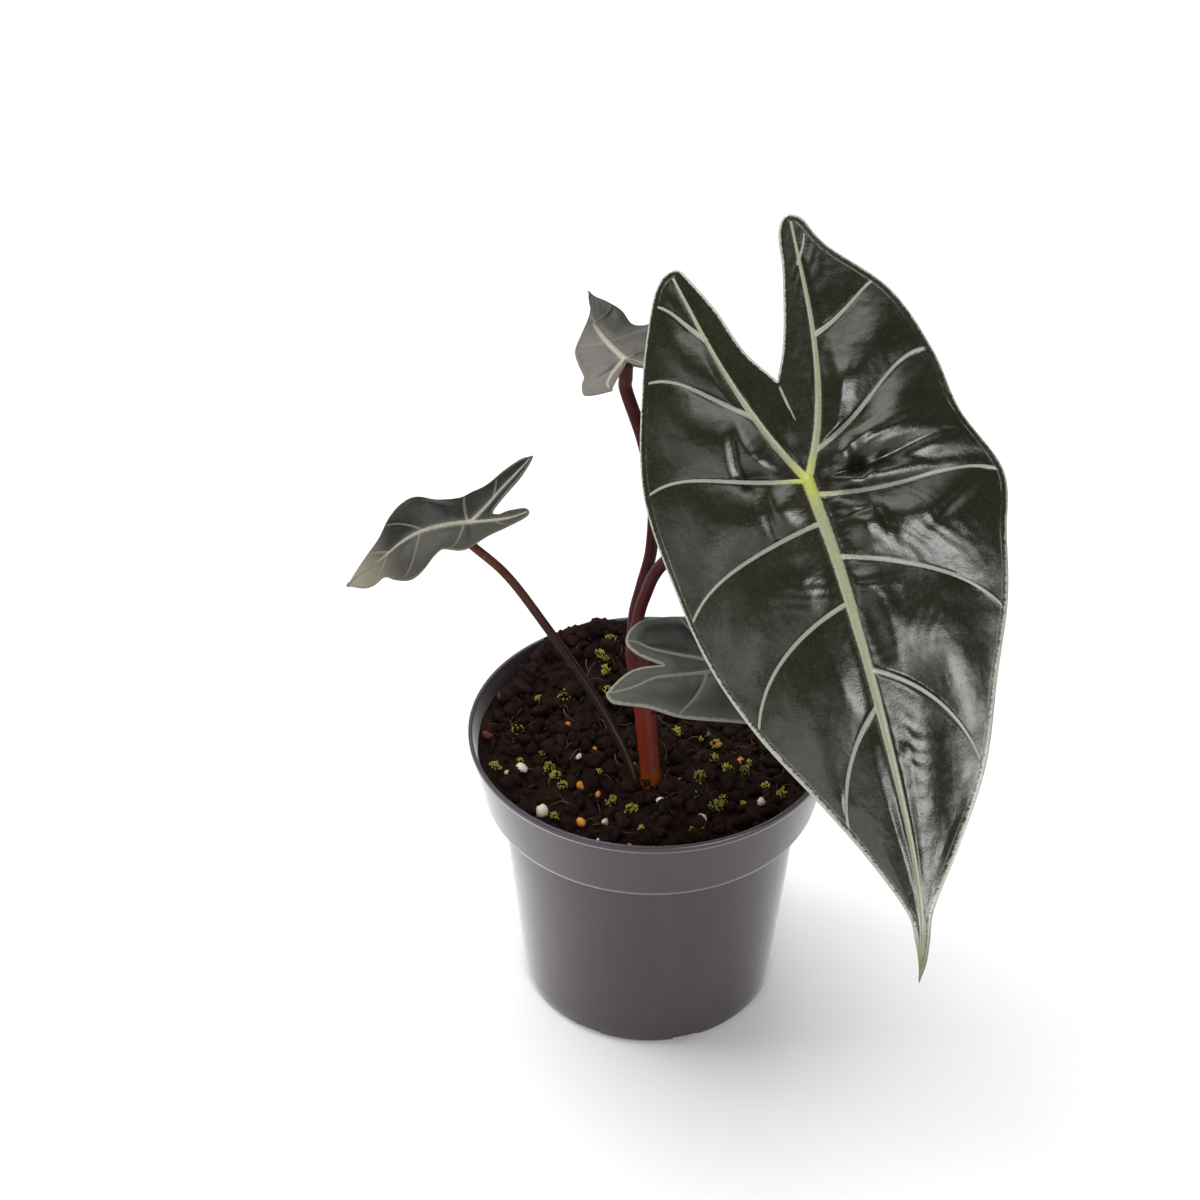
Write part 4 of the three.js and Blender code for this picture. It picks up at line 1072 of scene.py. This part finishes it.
def clod_relief(x, y):
    lumps = noise.voronoi(Vector((x / 5.5, y / 5.5, 0)))[0]
    lump = 0.9 - min(1.0, 1.5 * lumps[0])
    fine = noise.fractal(Vector((x / 3.1, y / 3.1, 4.0)), 0.9, 2.2, 5)
    return 1.4 * lump + 0.8 * fine


def make_soil_bed(material):
    outline = [(0, FLOOR + SOIL_GAP)] + inner_wall(SOIL_GAP)
    outline += [(SOIL_RADIUS * ring / SOIL_RINGS, SOIL_LEVEL) for ring in range(SOIL_RINGS, -1, -1)]
    points, faces = turned(outline, SOIL_SIDES)
    on_top = points[:, 2] > SOIL_LEVEL - 0.01
    x, y = points[on_top, 0], points[on_top, 1]
    relief = np.array([clod_relief(a, b) for a, b in zip(x, y)])
    points[on_top, 2] = soil_height(x, y) + relief * (1 - smooth(np.hypot(x, y), SOIL_EDGE, SOIL_RADIUS))
    make_piece("soil_bed", points, faces, material, ["soil"])


def soil_spot(px, py):
    # Where a pixel of the photograph meets the soil's surface
    focal = LENS / SENSOR_WIDTH * PHOTO_SIZE
    view = (CAMERA_AIM - CAMERA_AT).to_track_quat("-Z", "Y")
    ray = view @ Vector(((px - PHOTO_SIZE / 2) / focal, (PHOTO_SIZE / 2 - py) / focal, -1))
    height = SOIL_LEVEL
    for _ in range(6):
        place = CAMERA_AT + ray * ((height - CAMERA_AT.z) / ray.z)
        reach = math.hypot(place.x, place.y)
        if reach > CRUMB_FIELD:
            place.x *= CRUMB_FIELD / reach
            place.y *= CRUMB_FIELD / reach
        height = float(soil_height(place.x, place.y))
    return place.x, place.y


def on_soil(x, y, size, sink=0.35):
    # A place on the soil for a body of this half size, kept clear of the pot's wall
    inward = min(1, (SOIL_RADIUS - 1.3 * size) / max(math.hypot(x, y), 1e-6))
    x, y = x * inward, y * inward
    return np.array((x, y, float(soil_height(x, y)) + (1 - 2 * sink) * size + 0.3))


def random_spot(draw, field):
    angle = draw.uniform(0, 2 * math.pi)
    reach = field * math.sqrt(draw.random())
    return reach * math.cos(angle), reach * math.sin(angle)


def ball(divisions):
    shape = bmesh.new()
    bmesh.ops.create_icosphere(shape, subdivisions=divisions, radius=1)
    points = np.array([tuple(vertex.co) for vertex in shape.verts])
    faces = [tuple(vertex.index for vertex in face.verts) for face in shape.faces]
    shape.free()
    return points, faces


def lumpy(shape, draw, roughness, flatness):
    seed = Vector((draw.uniform(-50, 50), draw.uniform(-50, 50), draw.uniform(-50, 50)))
    push = [1 + roughness * noise.fractal(Vector(point) * 1.3 + seed, 0.8, 2.1, 3) for point in shape]
    lump = shape * np.array(push)[:, None]
    lump = lump * (1, draw.uniform(0.65, 1), draw.uniform(flatness, 1))
    angles = [draw.uniform(0, 2 * math.pi) for _ in range(3)]
    for axis, angle in enumerate(angles):
        lump = rotated(lump, (axis + 1) % 3, (axis + 2) % 3, angle)
    return lump


class Heap:
    # Many small bodies gathered in one mesh, each with its own tone
    def __init__(self, draw):
        self.draw = draw
        self.points = []
        self.faces = []
        self.tones = []
        self.count = 0

    def add(self, points, faces, tone):
        self.points.append(points)
        self.faces += [tuple(self.count + k for k in face) for face in faces]
        self.tones.append(np.full(len(points), tone))
        self.count += len(points)

    def drop(self, spot, size, shape, roughness, flatness, sink=0.35):
        points, faces = shape
        lump = on_soil(*spot, size, sink) + size * lumpy(points, self.draw, roughness, flatness)
        self.add(lump, faces, self.draw.random())

    def make(self, name, material):
        piece = make_piece(name, np.vstack(self.points), self.faces, material)
        set_attribute(piece, "tone", np.concatenate(self.tones))


def make_crumbs(material):
    draw = random.Random(7)
    crumbs = Heap(draw)
    small, large = ball(1), ball(2)
    for px, py, size in BIG_CLODS:
        crumbs.drop(soil_spot(px, py), size, large, 0.5, 0.7)
    for _ in range(HEAP_CLODS):
        angle = math.radians(draw.uniform(*HEAP_ANGLES))
        reach, size = draw.uniform(*HEAP_REACH), draw.uniform(*HEAP_SIZES)
        crumbs.drop((reach * math.cos(angle), reach * math.sin(angle)), size, large, 0.5, 0.7)
    for _ in range(CRUMBS):
        spot = random_spot(draw, CRUMB_FIELD)
        size = lerp(*CRUMB_SIZES, draw.random() ** 3)
        crumbs.drop(spot, size, large if size > LARGE_CRUMB else small, 0.6, 0.6)
    crumbs.make("soil_crumbs", material)


def make_grains(name, places, material, roughness, seed):
    draw = random.Random(seed)
    shape = ball(2)
    grains = Heap(draw)
    for px, py, size in places:
        grains.drop(soil_spot(px, py), size, shape, roughness, 0.7, 0.15)
    for _ in places:
        spot = random_spot(draw, CRUMB_FIELD)
        grains.drop(spot, draw.uniform(*LOOSE_GRAIN_SIZES), shape, roughness, 0.7, 0.15)
    grains.make(name, material)


def make_moss(material):
    draw = random.Random(31)
    leaflet = np.array([(0, -0.22, 0), (0, 0.22, 0), (0.5, 0.3, 0.25), (0.5, -0.3, 0.25), (1, 0, 0.2),
                        (0.45, 0, -0.05)])
    leaflet_faces = [(0, 1, 2, 3), (3, 2, 4), (0, 5, 1), (1, 5, 2), (0, 3, 5), (3, 4, 5), (2, 5, 4)]
    moss = Heap(draw)
    spots = [(*soil_spot(px, py), size) for px, py, size in MOSS_TUFTS]
    spots += [(*random_spot(draw, CRUMB_FIELD), draw.uniform(*LOOSE_TUFT_SIZES)) for _ in MOSS_TUFTS]
    for x, y, size in spots:
        tuft_tone = draw.uniform(0, 0.7)
        for _ in range(int(LEAFLETS_PER_SIZE * size)):
            away, around = size * draw.random() ** 0.6, draw.uniform(0, 2 * math.pi)
            spin, lean = draw.uniform(0, 2 * math.pi), draw.uniform(0.2, 1.3)
            placed = rotated(leaflet * draw.uniform(0.7, 1.3), 0, 2, lean)
            placed = rotated(placed, 0, 1, spin)
            foot = on_soil(x + away * math.cos(around), y + away * math.sin(around), 0.5)
            foot[2] += 0.9 * size * (1 - (away / size) ** 2)
            moss.add(placed + foot, leaflet_faces, tuft_tone + 0.3 * draw.random())
    moss.make("moss", material)


def make_fibres(material):
    draw = random.Random(5)
    fibres = Heap(draw)
    for _ in range(FIBRES):
        x, y = random_spot(draw, CRUMB_FIELD - 6)
        heading, bend_by = draw.uniform(0, 2 * math.pi), draw.uniform(-0.9, 0.9)
        step = draw.uniform(1.0, 2.6)
        route = []
        for k in range(5):
            height = float(soil_height(x, y)) + 0.9 + 0.9 * math.sin(k * 0.8 + bend_by)
            route.append((x, y, height))
            x += step * math.cos(heading)
            y += step * math.sin(heading)
            heading += bend_by * 0.5
        thick = draw.uniform(0.13, 0.3)
        points, faces, _ = tube(route, lambda share, angles: np.full(len(angles), thick * (1 - 0.7 * share)),
                                5, 9)
        fibres.add(points, faces, draw.random())
    fibres.make("soil_fibres", material)


# Stems
def make_rod(stem, route, radius_at, sides, steps, material):
    points, faces, along = tube(route, radius_at, sides, steps)
    piece = make_piece(stem.name, points, faces, material, [stem.node])
    set_attribute(piece, "along", along)


def reach_leaf(stem):
    # The stem's route, brought straight into the underside of its leaf
    straight = 4 * stem.radii[1]
    surface = stem.leaf.joint_depth
    depths = np.array([surface + straight, surface + straight / 2, surface, 0.9])
    nowhere = np.zeros(len(depths))
    return stem.route + [tuple(point) for point in bend(stem.leaf, nowhere, nowhere, -depths)]


def make_stem(stem, material):
    def radius_at(share, angles):
        swelling = 1 + 0.22 * math.exp(-((1 - share) / 0.035) ** 2) + 0.12 * math.exp(-(share / 0.08) ** 2)
        groove = 1 - 0.07 * np.exp(-((angles - 1.2) / 0.35) ** 2)
        flutes = 1 + 0.012 * np.cos(9 * angles + 2 * share)
        return lerp(*stem.radii, share ** 0.8) * swelling * groove * flutes
    make_rod(stem, reach_leaf(stem), radius_at, 36, 110, material)


def make_crown(stem, material):
    def radius_at(share, angles):
        seam = (angles - 2.2 - 1.1 * share) % (2 * math.pi)
        overlap = 0.055 * np.exp(-seam / 0.5) - 0.02 * np.exp(-(2 * math.pi - seam) / 0.25)
        narrowing = 1 - 0.42 * smooth(share, 0.82, 1.0)
        foot = 1 + 0.16 * math.exp(-((share - 0.18) / 0.07) ** 2)
        return lerp(*stem.radii, share) * (1 + overlap) * narrowing * foot
    make_rod(stem, stem.route, radius_at, 72, 120, material)


# Camera, floor and lights
def aimed_object(name, data, at, target):
    thing = bpy.data.objects.new(name, data)
    bpy.context.scene.collection.objects.link(thing)
    thing.location = Vector(at) * MM
    thing.rotation_euler = (Vector(target) - Vector(at)).to_track_quat("-Z", "Y").to_euler()
    return thing


def make_camera():
    data = bpy.data.cameras.new("photo_view")
    data.sensor_width = SENSOR_WIDTH
    data.lens = LENS
    data.clip_start = 0.02
    bpy.context.scene.camera = aimed_object("photo_view", data, CAMERA_AT, CAMERA_AIM)


def make_studio():
    for name, at, target, size, power, is_mirrored, is_lighting in LIGHTS:
        data = bpy.data.lights.new(name, "AREA")
        data.shape = "SQUARE"
        data.size = size * MM
        data.energy = power
        light = aimed_object(name, data, at, target)
        light.visible_camera = False
        light.visible_diffuse = is_lighting
        light.visible_glossy = is_mirrored
    world = bpy.data.worlds.new("studio")
    world.use_nodes = True
    background = world.node_tree.nodes["Background"]
    background.inputs["Color"].default_value = (1, 1, 1, 1)
    background.inputs["Strength"].default_value = WORLD_LIGHT
    bpy.context.scene.world = world
    bpy.context.scene.view_settings.view_transform = "Standard"


def make_floor():
    corners = [(x * FLOOR_REACH, y * FLOOR_REACH, 0) for x, y in ((-1, -1), (1, -1), (1, 1), (-1, 1))]
    floor = new_object("floor", corners, [(0, 1, 2, 3)])
    floor.data.materials.append(floor_material())


make_camera()
make_studio()
make_floor()
make_pot(pot_material())
make_soil_bed(soil_material())
make_crumbs(toned_material("crumbs", (0.0025, 0.001, 0.0007), (0.023, 0.0098, 0.0062), 0.9, 600.0, 0.5, 0.1))
pale = toned_material("pale_grain", (0.36, 0.3, 0.2), (0.66, 0.6, 0.5), 0.8, 700.0)
orange = toned_material("orange_grain", (0.3, 0.1, 0.015), (0.5, 0.2, 0.03), 0.45, 500.0)
red = toned_material("red_bit", (0.06, 0.012, 0.008), (0.12, 0.03, 0.016), 0.8, 500.0)
make_grains("pale_grains", WHITE_GRAINS, pale, 0.35, 11)
make_grains("orange_grains", ORANGE_GRAINS, orange, 0.12, 17)
make_grains("red_bits", RED_BITS, red, 0.7, 23)
make_moss(toned_material("moss", (0.15, 0.14, 0.013), (0.42, 0.36, 0.05), 0.7, 500.0, 0.1))
make_fibres(toned_material("fibre", (0.02, 0.01, 0.006), (0.1, 0.055, 0.03), 0.85, 500.0, 0.1))
stem_materials = {name: stem_material(name, *colours) for name, colours in STEM_COLOURS.items()}
make_crown(CROWN, stem_materials[CROWN.material])
for stem in STEMS:
    make_stem(stem, stem_materials[stem.material])
make_leaf(MAIN_LEAF, blade_material("dark_blade", DARK_LOOK))
make_leaf(LEFT_LEAF, blade_material("left_blade", LEFT_LOOK))
make_leaf(BACK_LEAF, blade_material("back_blade", BACK_LOOK))
make_leaf(MIDDLE_LEAF, blade_material("middle_blade", MIDDLE_LOOK))
